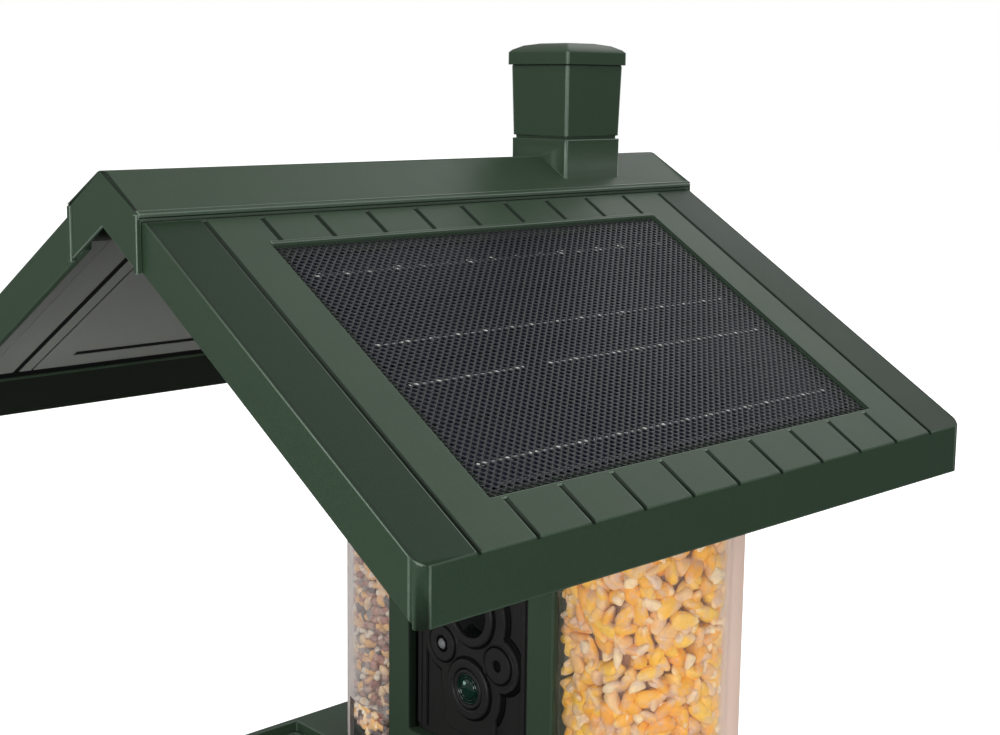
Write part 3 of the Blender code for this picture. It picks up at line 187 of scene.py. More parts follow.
def mouldedPlastic(name, colour, roughness=0.42, cloud=0.12, speckle=0.2, speckleScale=900, glossChange=0.12,
                   wear=0.25, wearColour=None, edgeRadius=0.0005, dust=0.0, bump=0.00004, specular=0.28):
    material, tree, shader = newFinish(name)
    grain = useGroup(tree, grainGroup, {"Colour": (*colour, 1), "Cloud": cloud, "Speckle": speckle,
                                        "Speckle Scale": speckleScale, "Roughness": roughness,
                                        "Gloss Change": glossChange})
    edge = useGroup(tree, edgeGroup, {"Radius": edgeRadius, "Amount": wear})
    worn = wearColour or tuple(min(1, c * 3 + 0.02) for c in colour)
    shown = mixColour(tree, edge.outputs["Mask"], grain.outputs["Colour"], (*worn, 1))
    if dust:
        film = useGroup(tree, dustGroup, {"Amount": dust})
        shown = mixColour(tree, film.outputs["Mask"], shown, (0.32, 0.31, 0.27, 1))
    relief = addNode(tree, "ShaderNodeBump", {"Strength": 1.0, "Distance": bump,
                                              "Height": grain.outputs["Height"],
                                              "Normal": edge.outputs["Normal"]})
    feed(tree, shader, {"Base Color": shown, "Roughness": grain.outputs["Roughness"],
                        "Normal": relief.outputs["Normal"], "Specular IOR Level": specular})
    return material


def paintShadeUpwards(material, low, high, colour):
    # painted shade: a slow change to a darker colour between two heights
    tree = material.node_tree
    shader = tree.nodes["Principled BSDF"]
    share = remap(tree, partOf(tree, ownPlace(tree), "Z"), low, high, 0, 1)
    plain = shader.inputs["Base Color"].links[0].from_socket
    feed(tree, shader, {"Base Color": mixColour(tree, share, plain, (*colour, 1))})


def brushedMetal(name, colour, roughness=0.3):
    material, tree, shader = newFinish(name)
    grain = useGroup(tree, grainGroup, {"Colour": (*colour, 1), "Cloud": 0.15, "Speckle": 0.15,
                                        "Speckle Scale": 1400, "Roughness": roughness, "Gloss Change": 0.25})
    feed(tree, shader, {"Metallic": 1.0, "Base Color": grain.outputs["Colour"],
                        "Roughness": grain.outputs["Roughness"]})
    return material


def clearPlastic(name, tint, roughness, haze, grazingSheen, hazeAndSheenColour, start, end, across=None):
    # light passes straight through to what is inside; the eye sees gloss, thick edges, a dusty haze and a pale
    # painted sheen at grazing edges
    material, tree, shader = newFinish(name)
    grain = useGroup(tree, grainGroup, {"Colour": (*tint, 1), "Cloud": 0.03, "Speckle": 0.02,
                                        "Speckle Scale": 300, "Roughness": roughness, "Gloss Change": 0.08})
    feed(tree, shader, {"Base Color": (*tint, 1), "Transmission Weight": 1.0, "IOR": 1.46,
                        "Roughness": grain.outputs["Roughness"]})
    through = addNode(tree, "ShaderNodeBsdfTransparent", {"Color": (*tint, 1)})
    path = addNode(tree, "ShaderNodeLightPath").outputs
    passing = doMath(tree, "MAXIMUM", path["Is Shadow Ray"], path["Is Diffuse Ray"])
    blend = addNode(tree, "ShaderNodeMixShader", {0: passing, 1: shader.outputs[0], 2: through.outputs[0]})
    film = addNode(tree, "ShaderNodeBsdfDiffuse", {"Color": (*hazeAndSheenColour, 1)})
    patch = remap(tree, noiseOf(tree, 60, 5, 0.65), 0.3, 0.75, haze * 0.5, haze * 1.6)
    # painted sheen: where the eye looks at a grazing angle the pale film is laid on far more thickly
    facing = addNode(tree, "ShaderNodeLayerWeight", {"Blend": 0.5}).outputs["Facing"]
    edge = remap(tree, facing, start, end, 0, grazingSheen, interpolation_type="SMOOTHSTEP")
    seen = doMath(tree, "MULTIPLY", edge, path["Is Camera Ray"])
    if across:
        # the painted sheen lies on one side only: direction, then where it begins and is full
        direction, none, full = across
        dot = addNode(tree, "ShaderNodeVectorMath", {0: ownPlace(tree), 1: direction},
                      operation="DOT_PRODUCT")
        seen = doMath(tree, "MULTIPLY", seen, remap(tree, dot.outputs["Value"], none, full, 0, 1))
    amount = doMath(tree, "ADD", seen, patch, clamp=True)
    dusty = addNode(tree, "ShaderNodeMixShader", {0: amount, 1: blend.outputs[0], 2: film.outputs[0]})
    feed(tree, tree.nodes["Material Output"], {"Surface": dusty.outputs[0]})
    return material


def seedSkin(name, stops, tipColour, tipRange, roughness, blotch, flour, flourAmount, flourScale,
             blended=True):
    # U holds each seed's own tone and V runs from its tip to its crown
    material, tree, shader = newFinish(name)
    uv = addNode(tree, "ShaderNodeUVMap", uv_map="seed").outputs["UV"]
    ramp = addNode(tree, "ShaderNodeValToRGB", {"Fac": partOf(tree, uv, "X")})
    ramp.color_ramp.interpolation = "LINEAR" if blended else "CONSTANT"
    marks = ramp.color_ramp.elements
    while len(marks) < len(stops):
        marks.new(0.5)
    for mark, (position, colour) in zip(marks, stops):
        mark.position = position
        mark.color = (*colour, 1)
    tip = remap(tree, partOf(tree, uv, "Y"), *tipRange, 1, 0)
    skin = mixColour(tree, tip, ramp.outputs["Color"], (*tipColour, 1))
    # pale floury patches where the skins have rubbed
    cover = remap(tree, noiseOf(tree, flourScale, 4, 0.65), 0.47, 0.66, 0, flourAmount)
    skin = mixColour(tree, cover, skin, (*flour, 1))
    grain = useGroup(tree, grainGroup, {"Colour": skin, "Cloud": blotch, "Speckle": blotch,
                                        "Speckle Scale": 420, "Roughness": roughness, "Gloss Change": 0.2})
    relief = addNode(tree, "ShaderNodeBump", {"Strength": 1.0, "Distance": 0.0005,
                                              "Height": noiseOf(tree, 520, 3, 0.6)})
    feed(tree, shader, {"Base Color": grain.outputs["Colour"], "Roughness": grain.outputs["Roughness"],
                        "Normal": relief.outputs["Normal"]})
    return material


greens = {
    "roof": (0.0215, 0.0410, 0.0228),
    # the roof's green made lighter: painted light on the body parts under the roof
    "body": (0.0325, 0.0570, 0.0345),
    "frame": (0.0150, 0.0270, 0.0170),
    # the roof's green made darker: painted shade on the end planks
    "endPlankShade": (0.0085, 0.0225, 0.0100),
    # painted highlight on rounded arrises
    "arris": (0.090, 0.122, 0.094),
    # pale rubbed arrises: partly wear, partly painted highlight
    "roofWornAndHighlight": (0.13, 0.17, 0.135),
    "bodyWornAndHighlight": (0.10, 0.14, 0.11),
}
# seed flour, and the hoppers' dusty haze, whose colour also paints their pale grazing sheen
dustAndSheen = {
    "cornFlour": (0.66, 0.46, 0.40),
    "seedFlour": (0.66, 0.50, 0.42),
    "hopperHazeAndSheen": (0.66, 0.50, 0.42),
    "hopperHazeAndSheenLeft": (0.60, 0.53, 0.50),
}
# tone of a seed, from its U, and the skin's colour there
cornTones = [(0.0, (0.93, 0.37, 0.010)), (0.3, (0.96, 0.46, 0.016)), (0.62, (0.97, 0.57, 0.040)),
             (0.82, (0.92, 0.50, 0.17)), (1.0, (0.95, 0.76, 0.46))]
mixedTones = [(0.0, (0.86, 0.50, 0.20)), (0.17, (0.90, 0.66, 0.40)), (0.30, (0.34, 0.13, 0.10)),
              (0.46, (0.46, 0.22, 0.17)), (0.58, (0.14, 0.115, 0.115)), (0.74, (0.26, 0.24, 0.24)),
              (0.83, (0.86, 0.76, 0.62))]

# the record's finishes, by slot
finish = {
    # the roof's and the body's arrises turn a pale colour that is partly wear and partly painted highlight
    "roof_green": mouldedPlastic("roofGreen", greens["roof"], speckle=0.3, dust=0.02, wear=0.75,
                                 wearColour=greens["roofWornAndHighlight"]),
    "body_green": mouldedPlastic("bodyGreen", greens["body"], speckle=0.25, wear=0.6,
                                 wearColour=greens["bodyWornAndHighlight"]),
    "frame_green": mouldedPlastic("frameGreen", greens["frame"], roughness=0.45, wear=0.2),
    "mesh_black": mouldedPlastic("meshBlack", (0.0130, 0.0136, 0.0168), roughness=0.4, wear=0,
                                 edgeRadius=0.0001, specular=0.35),
    "solar_cells": mouldedPlastic("cellBlue", (0.0072, 0.0112, 0.0300), roughness=0.2, cloud=0.5, speckle=0.3,
                                  wear=0, edgeRadius=0.0001, bump=0.000005),
    "lining_grey": mouldedPlastic("liningGrey", (0.155, 0.163, 0.149), roughness=0.45, speckle=0.15,
                                  wear=0.15),
    "clear_plastic": clearPlastic("clearPlastic", (0.975, 0.972, 0.962), 0.05, 0.04, 0.93, dustAndSheen["hopperHazeAndSheen"],
                                  0.33, 0.60, ((0.672, 0.741, 0), 0.088, 0.103)),
    "chute_grey": mouldedPlastic("chuteGrey", (0.035, 0.042, 0.036), roughness=0.45, wear=0.2, dust=0.1),
    "camera_black": mouldedPlastic("cameraBlack", (0.0175, 0.0165, 0.0165), speckle=0.3, wear=0.2,
                                   wearColour=(0.05, 0.05, 0.05)),
    "dark_window": mouldedPlastic("darkWindow", (0.002, 0.0024, 0.0022), roughness=0.06, wear=0, speckle=0,
                                  cloud=0, glossChange=0.02, edgeRadius=0.0001, bump=0),
    "lens_glass": mouldedPlastic("lensGlass", (0.003, 0.010, 0.008), roughness=0.03, wear=0, speckle=0,
                                 cloud=0.5, glossChange=0.01, edgeRadius=0.0001, bump=0),
    "status_white": mouldedPlastic("statusWhite", (0.16, 0.165, 0.17), roughness=0.3, wear=0, speckle=0.05),
    "circuit": mouldedPlastic("circuitGreen", (0.012, 0.09, 0.04), roughness=0.35, speckle=0.6, wear=0),
    "battery_wrap": mouldedPlastic("batteryWrap", (0.02, 0.07, 0.2), roughness=0.3, wear=0.1),
    "rubber": mouldedPlastic("rubberBlack", (0.011, 0.011, 0.011), roughness=0.75, speckle=0.3, wear=0.1),
    "steel": brushedMetal("steel", (0.56, 0.56, 0.55), 0.28),
    "corn": seedSkin("cornSkin", cornTones, (0.95, 0.66, 0.34), (0.02, 0.22), 0.34, 0.35, dustAndSheen["cornFlour"],
                     0.75, 170),
    "mixed_seed": seedSkin("mixedSkin", mixedTones, (0.5, 0.4, 0.3), (-0.2, 0.02), 0.5, 0.2, dustAndSheen["seedFlour"],
                           0.7, 150, blended=False),
}

# finishes of small areas and a few more: painted highlights on arrises, painted shade in grooves, gaps and
# what shows inside, the cells' and lens's own colours, and the left hopper
extra = {
    # painted highlight on rounded arrises: the window lips, the cap's other edges and the chimney's corners
    "arrisHighlight": mouldedPlastic("arrisHighlight", greens["arris"], roughness=0.3, speckle=0.5, wear=0,
                                 specular=0.5),
    # painted highlight on the slopes' gable arrises and groove tops, fading upwards
    "gableHighlight": mouldedPlastic("gableHighlight", greens["arris"], roughness=0.35, speckle=0.5, wear=0),
    # painted shade on the slopes' end planks
    "endPlankShade": mouldedPlastic("endPlankShade", greens["endPlankShade"], speckle=0.3, wear=0.75,
                               wearColour=greens["roofWornAndHighlight"], specular=0.2),
    # painted shade on the eave's outer face
    "eaveShade": mouldedPlastic("eaveShade", (0.0165, 0.0345, 0.0185), speckle=0.3, wear=0.1),
    # painted highlight lines at the slopes' corners, under the cap's lips and on the base's and tray's arrises
    "lineHighlight": mouldedPlastic("lineHighlight", (0.066, 0.095, 0.069), roughness=0.35, speckle=0.5, wear=0),
    # painted shade in grooves, along thin lines, on rounds facing the front or away from the light, and on the
    # column's inner sides
    "greenShade": mouldedPlastic("greenShade", (0.0085, 0.0160, 0.0095), roughness=0.5, wear=0, specular=0.2),
    # painted shade on inner faces by the eave, and the dark joint under the chimney's lid
    "insideShadeAndJoint": mouldedPlastic("insideShadeAndJoint", (0.0085, 0.0125, 0.0080), roughness=0.5, wear=0,
                                  specular=0.2),
    # painted highlight on the slopes' rounded rims and underside edges
    "rimHighlight": mouldedPlastic("rimHighlight", (0.032, 0.054, 0.035), roughness=0.4, wear=0),
    "lensCoating": mouldedPlastic("lensCoating", (0.004, 0.020, 0.014), roughness=0.04, wear=0, speckle=0,
                                  cloud=0.3, bump=0, specular=0.9),
    "lensGlint": mouldedPlastic("lensGlint", (0.22, 0.36, 0.30), roughness=0.2, wear=0, speckle=0, bump=0),
    "busbar": mouldedPlastic("busbar", (0.42, 0.43, 0.44), roughness=0.3, wear=0, speckle=0.6),
    "dullLine": mouldedPlastic("dullLine", (0.16, 0.17, 0.19), roughness=0.4, wear=0, speckle=0.6),
    "solder": mouldedPlastic("solder", (0.95, 0.95, 0.93), roughness=0.25, wear=0, specular=0.6),
    "cellBorder": mouldedPlastic("cellBorder", (0.005, 0.005, 0.006), roughness=0.3, wear=0,
                                 edgeRadius=0.0001),
    # painted shade: a black backing under the lining, black rings and lines on the camera and a disc over the
    # microphone
    "shadeBlack": mouldedPlastic("shadeBlack", (0.0025, 0.0027, 0.0025), roughness=0.6, wear=0,
                                 specular=0.12),
    # painted shade of the deep gaps between seeds, in a darker seed colour
    "cornCoreShade": mouldedPlastic("cornCoreShade", (0.46, 0.22, 0.11), roughness=0.8, cloud=0.8, speckle=1.2,
                               speckleScale=500, wear=0),
    "seedCoreShade": mouldedPlastic("seedCoreShade", (0.36, 0.24, 0.18), roughness=0.8, cloud=0.8, speckle=1.2,
                               speckleScale=600, wear=0),
    "clearPlasticLeft": clearPlastic("clearPlasticLeft", (0.97, 0.965, 0.96), 0.08, 0.10, 0.62,
                                     dustAndSheen["hopperHazeAndSheenLeft"], 0.52, 0.80),
}
# painted shade: the lining darkens towards the ridge and the gable's painted highlight fades upwards
paintShadeUpwards(finish["lining_grey"], 0.205, 0.262, (0.075, 0.079, 0.072))
paintShadeUpwards(extra["gableHighlight"], 0.215, 0.250, (0.036, 0.055, 0.038))
print("finishes ready")


# making pieces

tolerance = {
    "weld": 0.000005,
    "cut": 0.000001,
    "flat": math.radians(0.6),
    "sameWay": 0.999,          # cosine of two directions that count as one
    "level": 0.0001,
}


def addPiece(name, bm, body, materials, replaces=(), slot=None, smoothAngle=38, evenShading=True):
    mesh = bpy.data.meshes.new(name)
    bm.to_mesh(mesh)
    bm.free()
    piece = bpy.data.objects.new(name, mesh)
    bpy.context.scene.collection.objects.link(piece)
    for material in materials if isinstance(materials, (list, tuple)) else [materials]:
        mesh.materials.append(material)
    mesh.shade_smooth()
    mesh.set_sharp_from_angle(angle=math.radians(smoothAngle))
    if evenShading:
        shading = piece.modifiers.new("evenShading", "WEIGHTED_NORMAL")
        shading.keep_sharp = True
        shading.weight = 90
    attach(piece, body)
    if replaces:
        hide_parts(*replaces)
    return piece


def copyOfNode(node, joinFlats=True):
    bm = bmesh.new()
    bm.from_mesh(nodes[node].data)
    bmesh.ops.remove_doubles(bm, verts=bm.verts, dist=tolerance["weld"])
    if joinFlats:
        bmesh.ops.dissolve_limit(bm, angle_limit=tolerance["flat"], verts=bm.verts, edges=bm.edges)
    return bm


def sharpEdges(bm, where=None, least=26, shortest=0.0012):
    # edges that turn by at least this many degrees, and that where(middle, edge) picks
    chosen = []
    for edge in bm.edges:
        if len(edge.link_faces) != 2 or edge.calc_length() < shortest:
            continue
        if math.degrees(edge.calc_face_angle(0)) < least:
            continue
        if where is None or where((edge.verts[0].co + edge.verts[1].co) / 2, edge):
            chosen.append(edge)
    return chosen


def roundEdges(bm, edges, width, segments=2, index=0):
    # index is the material slot that the new rounded faces take
    if edges:
        made = bmesh.ops.bevel(bm, geom=edges, offset=width, offset_type="OFFSET", segments=segments,
                               profile=0.5, affect="EDGES", clamp_overlap=False, material=-1)
        if index:
            for face in made["faces"]:
                face.material_index = index


def touching(bm, faces):
    # the faces with their edges and corners, for a cut that leaves the rest alone
    chosen = set(faces)
    rims = [part for parts in (bm.edges, bm.verts) for part in parts if chosen.intersection(part.link_faces)]
    return list(faces) + rims


def isLevel(edge, within=tolerance["level"]):
    return abs(edge.verts[0].co.z - edge.verts[1].co.z) < within


def cutAcross(bm, faces, place, out):
    bmesh.ops.bisect_plane(bm, geom=touching(bm, faces), dist=tolerance["cut"], plane_co=place, plane_no=out)


def dressed(node, finishName, width=0.0004, segments=2, where=None, arris=None, joinFlats=True):
    # the node's own shape with its arrises rounded; a face round a wide opening stays as triangles
    bm = copyOfNode(node, joinFlats)
    roundEdges(bm, sharpEdges(bm, where), width, segments, 1 if arris else 0)
    materials = [finish[finishName]] + ([arris] if arris else [])
    return addPiece(node + ".dressed", bm, bodyOf[node], materials, [node], finishName)


def repaint(node, material):
    slots = nodes[node].material_slots
    if not slots:
        nodes[node].data.materials.append(material)
        return
    for place in slots:
        place.link = "OBJECT"
        place.material = material


def box(bm, x0, x1, y0, y1, z0, z1):
    middle = Vector((x0 + x1, y0 + y1, z0 + z1)) / 2
    bmesh.ops.create_cube(bm, size=1, matrix=Matrix.Translation(middle)
                          @ Matrix.Diagonal((x1 - x0, y1 - y0, z1 - z0, 1)))


# the slopes' own frame: down the slope, along the ridge, out from the surface
toRightSlope = Matrix(((math.cos(roof["pitch"]), 0, math.sin(roof["pitch"]), 0), (0, 1, 0, 0),
                       (-math.sin(roof["pitch"]), 0, math.cos(roof["pitch"]), roof["ridgeHeight"]),
                       (0, 0, 0, 1)))
toSlope = {"right": toRightSlope, "left": Matrix.Rotation(math.pi, 4, "Z") @ toRightSlope}
slopeSides = {"right": 1, "left": -1}

slopeFinish = {
    "arrisRound": 0.00045,
    "arrisShortest": 0.0022,
    "grooveRound": 0.0004,
    "grooveShortest": 0.0009,
    "grooveDepth": 0.0011,
    "grooveMargin": 0.0006,            # a groove stops this far inside the outline
    "topWithin": 0.0002,               # this far under the surface still counts as the top
    "gableWithin": 0.0003,
    "eaveBand": 0.006,                 # the rounded rims of the eave and the gable, in from the outline
    "gableBand": 0.0035,
    "underside": -0.004,
    "cornerRound": 0.0038,
    "cornerLine": 0.0004,
    "cornerShortest": 0.006,
    "gableLine": (0.0007, 0.0013),     # the line of painted shade inside the gable's arris, in from the end
    "belowCap": 0.010,                 # arrises are rounded from here down, past the cap's lip
    "insideBand": 0.02,
    "lipWidth": 0.0016,
    "lipGap": 0.0002,
    "lipRise": 0.0004,
    "lipSink": 0.001,
    # a slope's finishes, in the order of their slots: the planks' own green, painted highlights on the gable,
    # rims and corners, and painted shade inside, in grooves and lines, on the eave and on the end planks
    "looks": {"plank": finish["roof_green"], "gable": extra["gableHighlight"], "inside": extra["insideShadeAndJoint"],
              "arris": extra["rimHighlight"], "corner": extra["lineHighlight"], "dark": extra["greenShade"],
              "eave": extra["eaveShade"], "endPlankShade": extra["endPlankShade"]},
}


def dressSlopes():
    size = slopeFinish
    look = {name: index for index, name in enumerate(size["looks"])}
    halfLength, depth, margin = roof["halfLength"], size["grooveDepth"], size["grooveMargin"]
    plankEdge = roof["planksEachSide"] * roof["plankPitch"]
    lineStart, lineEnd = (halfLength - inwards for inwards in size["gableLine"])
    roundedFrom = roof["capLip"] + size["belowCap"]
    flatX, flatY = (roof[name] - size["cornerRound"] for name in ("halfWidth", "halfLength"))
    near = tolerance["level"]
    for side, sign in slopeSides.items():
        back = toSlope[side].inverted()

        def inGroove(middle, edge):
            s, y, n = back @ middle
            return n > -depth and s < slopeEnd - margin and abs(y) < halfLength - margin

        def onGrooveTop(middle, edge):
            return inGroove(middle, edge) and (back @ middle).z > -size["topWithin"]

        def onGable(middle, edge):
            s, y, n = back @ middle
            return n > -size["gableWithin"] and abs(y) > halfLength - size["gableWithin"] and s > roundedFrom

        def onArris(middle, edge):
            s, y, n = back @ middle
            onRim = s > slopeEnd - size["eaveBand"] or abs(y) > halfLength - size["gableBand"]
            return not inGroove(middle, edge) and not onGable(middle, edge) and s > roundedFrom and (
                onRim or n < size["underside"])

        def atCorner(middle, edge):
            # the upright lines where the corner's round begins and ends, which take a painted highlight
            along = edge.verts[0].co - edge.verts[1].co
            if max(abs(along.x), abs(along.y)) > 2 * near:
                return False
            x, y = abs(middle.x), abs(middle.y)
            return (abs(x - roof["halfWidth"]) < near and abs(y - flatY) < 2 * near) or (
                abs(y - halfLength) < near and abs(x - flatX) < 2 * near)

        bm = copyOfNode(f"roof_panel_{side}")
        corners = sharpEdges(bm, atCorner, least=4, shortest=size["cornerShortest"])
        roundEdges(bm, corners, size["cornerLine"], 2, look["corner"])
        # rounded gable arrises and groove tops take a painted highlight, and so do the rounded rims
        for where, kind, name in ((onGable, "arris", "gable"), (onArris, "arris", "arris"),
                                  (onGrooveTop, "groove", "gable")):
            chosen = sharpEdges(bm, where, shortest=size[kind + "Shortest"])
            roundEdges(bm, chosen, size[kind + "Round"], 2, look[name])

        # cuts in the flat top part the end planks and the thin lines, both in painted shade, from the rest
        for cut in (lineStart, lineEnd, plankEdge, -plankEdge, -lineStart, -lineEnd):
            flat = [face for face in bm.faces if (back.to_3x3() @ face.normal).z > tolerance["sameWay"]
                    and (back @ face.calc_center_median()).z > -size["topWithin"]]
            cutAcross(bm, flat, (0, cut, 0), (0, 1, 0))
        # painted shade by where a face lies: on rounds that face the front, on inner faces near the eave, on
        # groove walls and the thin lines, on the eave's outer face and on the end planks
        for face in bm.faces:
            s, y, n = back @ face.calc_center_median()
            flat, outwards = (back.to_3x3() @ face.normal).z > tolerance["sameWay"], face.normal.x * sign
            if face.material_index == look["gable"] and abs(y) < halfLength - 0.002 and face.normal.y < -0.1:
                face.material_index = look["dark"]
            elif face.material_index != look["plank"]:
                continue
            elif outwards < -0.5 and s > slopeEnd - size["insideBand"]:
                face.material_index = look["inside"]
            elif -depth < n < -0.00005 and s < slopeEnd - 0.0004 and abs(y) < halfLength - margin:
                face.material_index = look["dark"]
            elif flat and lineEnd < abs(y) < lineStart:
                face.material_index = look["dark"]
            elif outwards > 0.6 and abs(face.normal.z) < 0.1:
                face.material_index = look["eave"]
            elif flat and abs(y) > plankEdge:
                face.material_index = look["endPlankShade"]
        addPiece(f"roof_panel_{side}.dressed", bm, f"roof_{side}", list(size["looks"].values()),
                 [f"roof_panel_{side}"], "roof_green", 50)

        # a low raised lip along the window's top, its rounded edges in a painted highlight
        bm = bmesh.new()
        top, reach, rise = roof["windowTop"], roof["windowHalfLength"], size["lipRise"]
        box(bm, top - size["lipWidth"], top - size["lipGap"], -reach, reach, -size["lipSink"], rise)
        roundEdges(bm, sharpEdges(bm), rise * 0.6, 2, 1)
        bmesh.ops.transform(bm, matrix=toSlope[side], verts=bm.verts)
        addPiece(f"window_lip_{side}", bm, f"roof_{side}", [finish["roof_green"], extra["arrisHighlight"]],
                 slot="roof_green")


screenSize = {
    "columns": 61,
    "rowPairs": 40,
    "surface": -0.0012,      # out from the slope's surface, so this far in
    "thickness": 0.0004,
    "holeHalfAlong": 0.00113,
    "holeHalfAcross": 0.00060,
    "margin": 0.0003,        # between the sheet and the window's edge
}
holeShoulder = 0.42          # the straight part of a hole's sides, as a share of its length


def addLattice(name, body, replaced, place, size, start, end, reach):
    # expanded mesh: a lens-shaped hole in each lozenge of a staggered lattice
    along = 2 * reach / (2 * size["columns"] + 1)
    across = (end - start) / (2 * size["rowPairs"] + 1)
    bm = bmesh.new()
    corners = [(0, -along), (across, 0), (0, along), (-across, 0)]
    hole = [(0, -1), (1, -holeShoulder), (1, holeShoulder), (0, 1), (-1, holeShoulder), (-1, -holeShoulder)]
    low, right, high, left = [bm.verts.new((s, y, 0)) for s, y in corners]
    halfAcross, halfAlong = size["holeHalfAcross"], size["holeHalfAlong"]
    a, b, c, d, e, f = [bm.verts.new((s * halfAcross, y * halfAlong, 0)) for s, y in hole]
    for ring in ((low, right, b, a), (right, c, b), (right, high, d, c), (high, left, e, d), (left, f, e),
                 (left, low, a, f)):
        bm.faces.new(ring)
    bmesh.ops.translate(bm, verts=bm.verts, vec=Vector((start + across, along - reach, size["surface"])))
    # a second lozenge half a step on; both are then repeated along and down
    made = bmesh.ops.duplicate(bm, geom=list(bm.verts) + list(bm.edges) + list(bm.faces))["geom"]
    bmesh.ops.translate(bm, verts=[v for v in made if isinstance(v, bmesh.types.BMVert)],
                        vec=(across, along, 0))
    bmesh.ops.recalc_face_normals(bm, faces=bm.faces)
    bmesh.ops.transform(bm, matrix=place, verts=bm.verts)
    piece = addPiece(name, bm, body, finish["mesh_black"], [replaced], "mesh_black", 30, evenShading=False)
    for way, count, step in (("along", size["columns"], Vector((0, along * 2, 0))),
                             ("down", size["rowPairs"], Vector((across * 2, 0, 0)))):
        array = piece.modifiers.new(way, "ARRAY")
        array.count = count
        array.use_relative_offset = False
        array.use_constant_offset = True
        array.constant_offset_displace = place.to_3x3() @ step
        array.use_merge_vertices = True
        array.merge_threshold = 0.00002
    wall = piece.modifiers.new("thickness", "SOLIDIFY")
    wall.thickness = size["thickness"]
    wall.offset = -1


def addScreens():
    margin = screenSize["margin"]
    for side in slopeSides:
        addLattice(f"solar_screen_{side}.mesh", f"roof_{side}", f"solar_screen_{side}", toSlope[side],
                   screenSize, roof["windowTop"] + margin, roof["windowBottom"] - margin,
                   roof["windowHalfLength"] - margin)


cells = {
    "edges": (0.0462, 0.0730, 0.0996, 0.1262, 0.1528),
    "splits": (-0.0840, -0.0295, 0.0290, 0.0840),
    "gap": 0.0012,
    "depth": 0.0012,
    "surface": -0.0025,      # just under the screen
    "busbars": (0.0555, 0.0905, 0.1088, 0.143),
    "busbarEnds": (-0.079, 0.080),
    "busbarGaps": {0: (0.0265, 0.0354), 2: (-0.036, -0.0235), 3: (-0.0387, -0.0334)},
    "busbarShortest": 0.002,
    "busbarHalfWidth": 0.00035,
    "busbarRise": 0.0002,
    "solderPitch": 0.0105,
    "solderRadius": (0.0008, 0.0016),
    "solderShape": (0.8, 1.5),         # across and along, as shares of the radius
    "solderRise": 0.0003,
    "solderDrift": (0.0002, 0.0008),   # across and along
    "edgeLine": 0.1512,
    "edgeLineHalfWidth": 0.0003,
    "lineRise": 0.0001,
}


def addCells():
    surface, (start, end) = cells["surface"], cells["busbarEnds"]
    (driftAcross, driftAlong), (wide, long) = cells["solderDrift"], cells["solderShape"]
    rise, lineRise = cells["busbarRise"], cells["lineRise"]
    for side in slopeSides:
        bm = copyOfNode(f"solar_panel_{side}")
        roundEdges(bm, sharpEdges(bm), 0.0003)
        addPiece(f"solar_panel_{side}.sheet", bm, f"roof_{side}", extra["cellBorder"],
                 [f"solar_panel_{side}"], "solar_cells")
        panes, bars, dots, line = bmesh.new(), bmesh.new(), bmesh.new(), bmesh.new()
        gap = cells["gap"] / 2
        for s0, s1 in zip(cells["edges"], cells["edges"][1:]):
            for y0, y1 in zip(cells["splits"], cells["splits"][1:]):
                box(panes, s0 + gap, s1 - gap, y0 + gap, y1 - gap, surface - cells["depth"], surface)
        half = cells["busbarHalfWidth"]
        chance = random.Random(5)
        for i, s in enumerate(cells["busbars"]):
            gapStart, gapEnd = cells["busbarGaps"].get(i, (end, end))
            for y0, y1 in ((start, gapStart), (gapEnd, end)):
                if y1 - y0 < cells["busbarShortest"]:
                    continue
                box(bars, s - half, s + half, y0, y1, surface - lineRise, surface + rise)
                count = max(2, round((y1 - y0) / cells["solderPitch"]))
                for j in range(count + 1):
                    y = y0 + (y1 - y0) * j / count + chance.uniform(-driftAlong, driftAlong)
                    radius = chance.uniform(*cells["solderRadius"])
                    place = (s + chance.uniform(-driftAcross, driftAcross), y, surface + rise)
                    bmesh.ops.create_icosphere(
                        dots, subdivisions=1, radius=1, matrix=Matrix.Translation(place)
                        @ Matrix.Diagonal((radius * wide, radius * long, cells["solderRise"], 1)))
        half = cells["edgeLineHalfWidth"]
        box(line, cells["edgeLine"] - half, cells["edgeLine"] + half, start, end, surface - lineRise,
            surface + lineRise)
        for name, made, material, smoothAngle in (("solar_cells", panes, finish["solar_cells"], 38),
                                                  ("busbars", bars, extra["busbar"], 80),
                                                  ("solder", dots, extra["solder"], 80),
                                                  ("cell_edge_line", line, extra["dullLine"], 80)):
            bmesh.ops.transform(made, matrix=toSlope[side], verts=made.verts)
            addPiece(f"{name}_{side}", made, f"roof_{side}", material, slot="solar_cells",
                     smoothAngle=smoothAngle)


lining = {
    "top": 0.036,
    "bottom": 0.1560,                    # down the slope from the ridge line
    "halfLength": 0.1185,
    "face": -0.006,
    "plate": 0.0004,
    "backing": 0.00036,                  # the black sheet's face, in from the plates'
    "within": 0.0003,                    # corners this near the face are moved in with it
    "innerGroove": (0.0866, 0.0876),     # along the ridge, both ways from the middle
    "outerGroove": (0.0924, 0.0952),
    "edgeStrip": (0.1076, 0.1084),
    "stripDepth": 0.0002,
    "slot": (0.1408, 0.1450),
    "slotHalfLength": 0.0745,
}


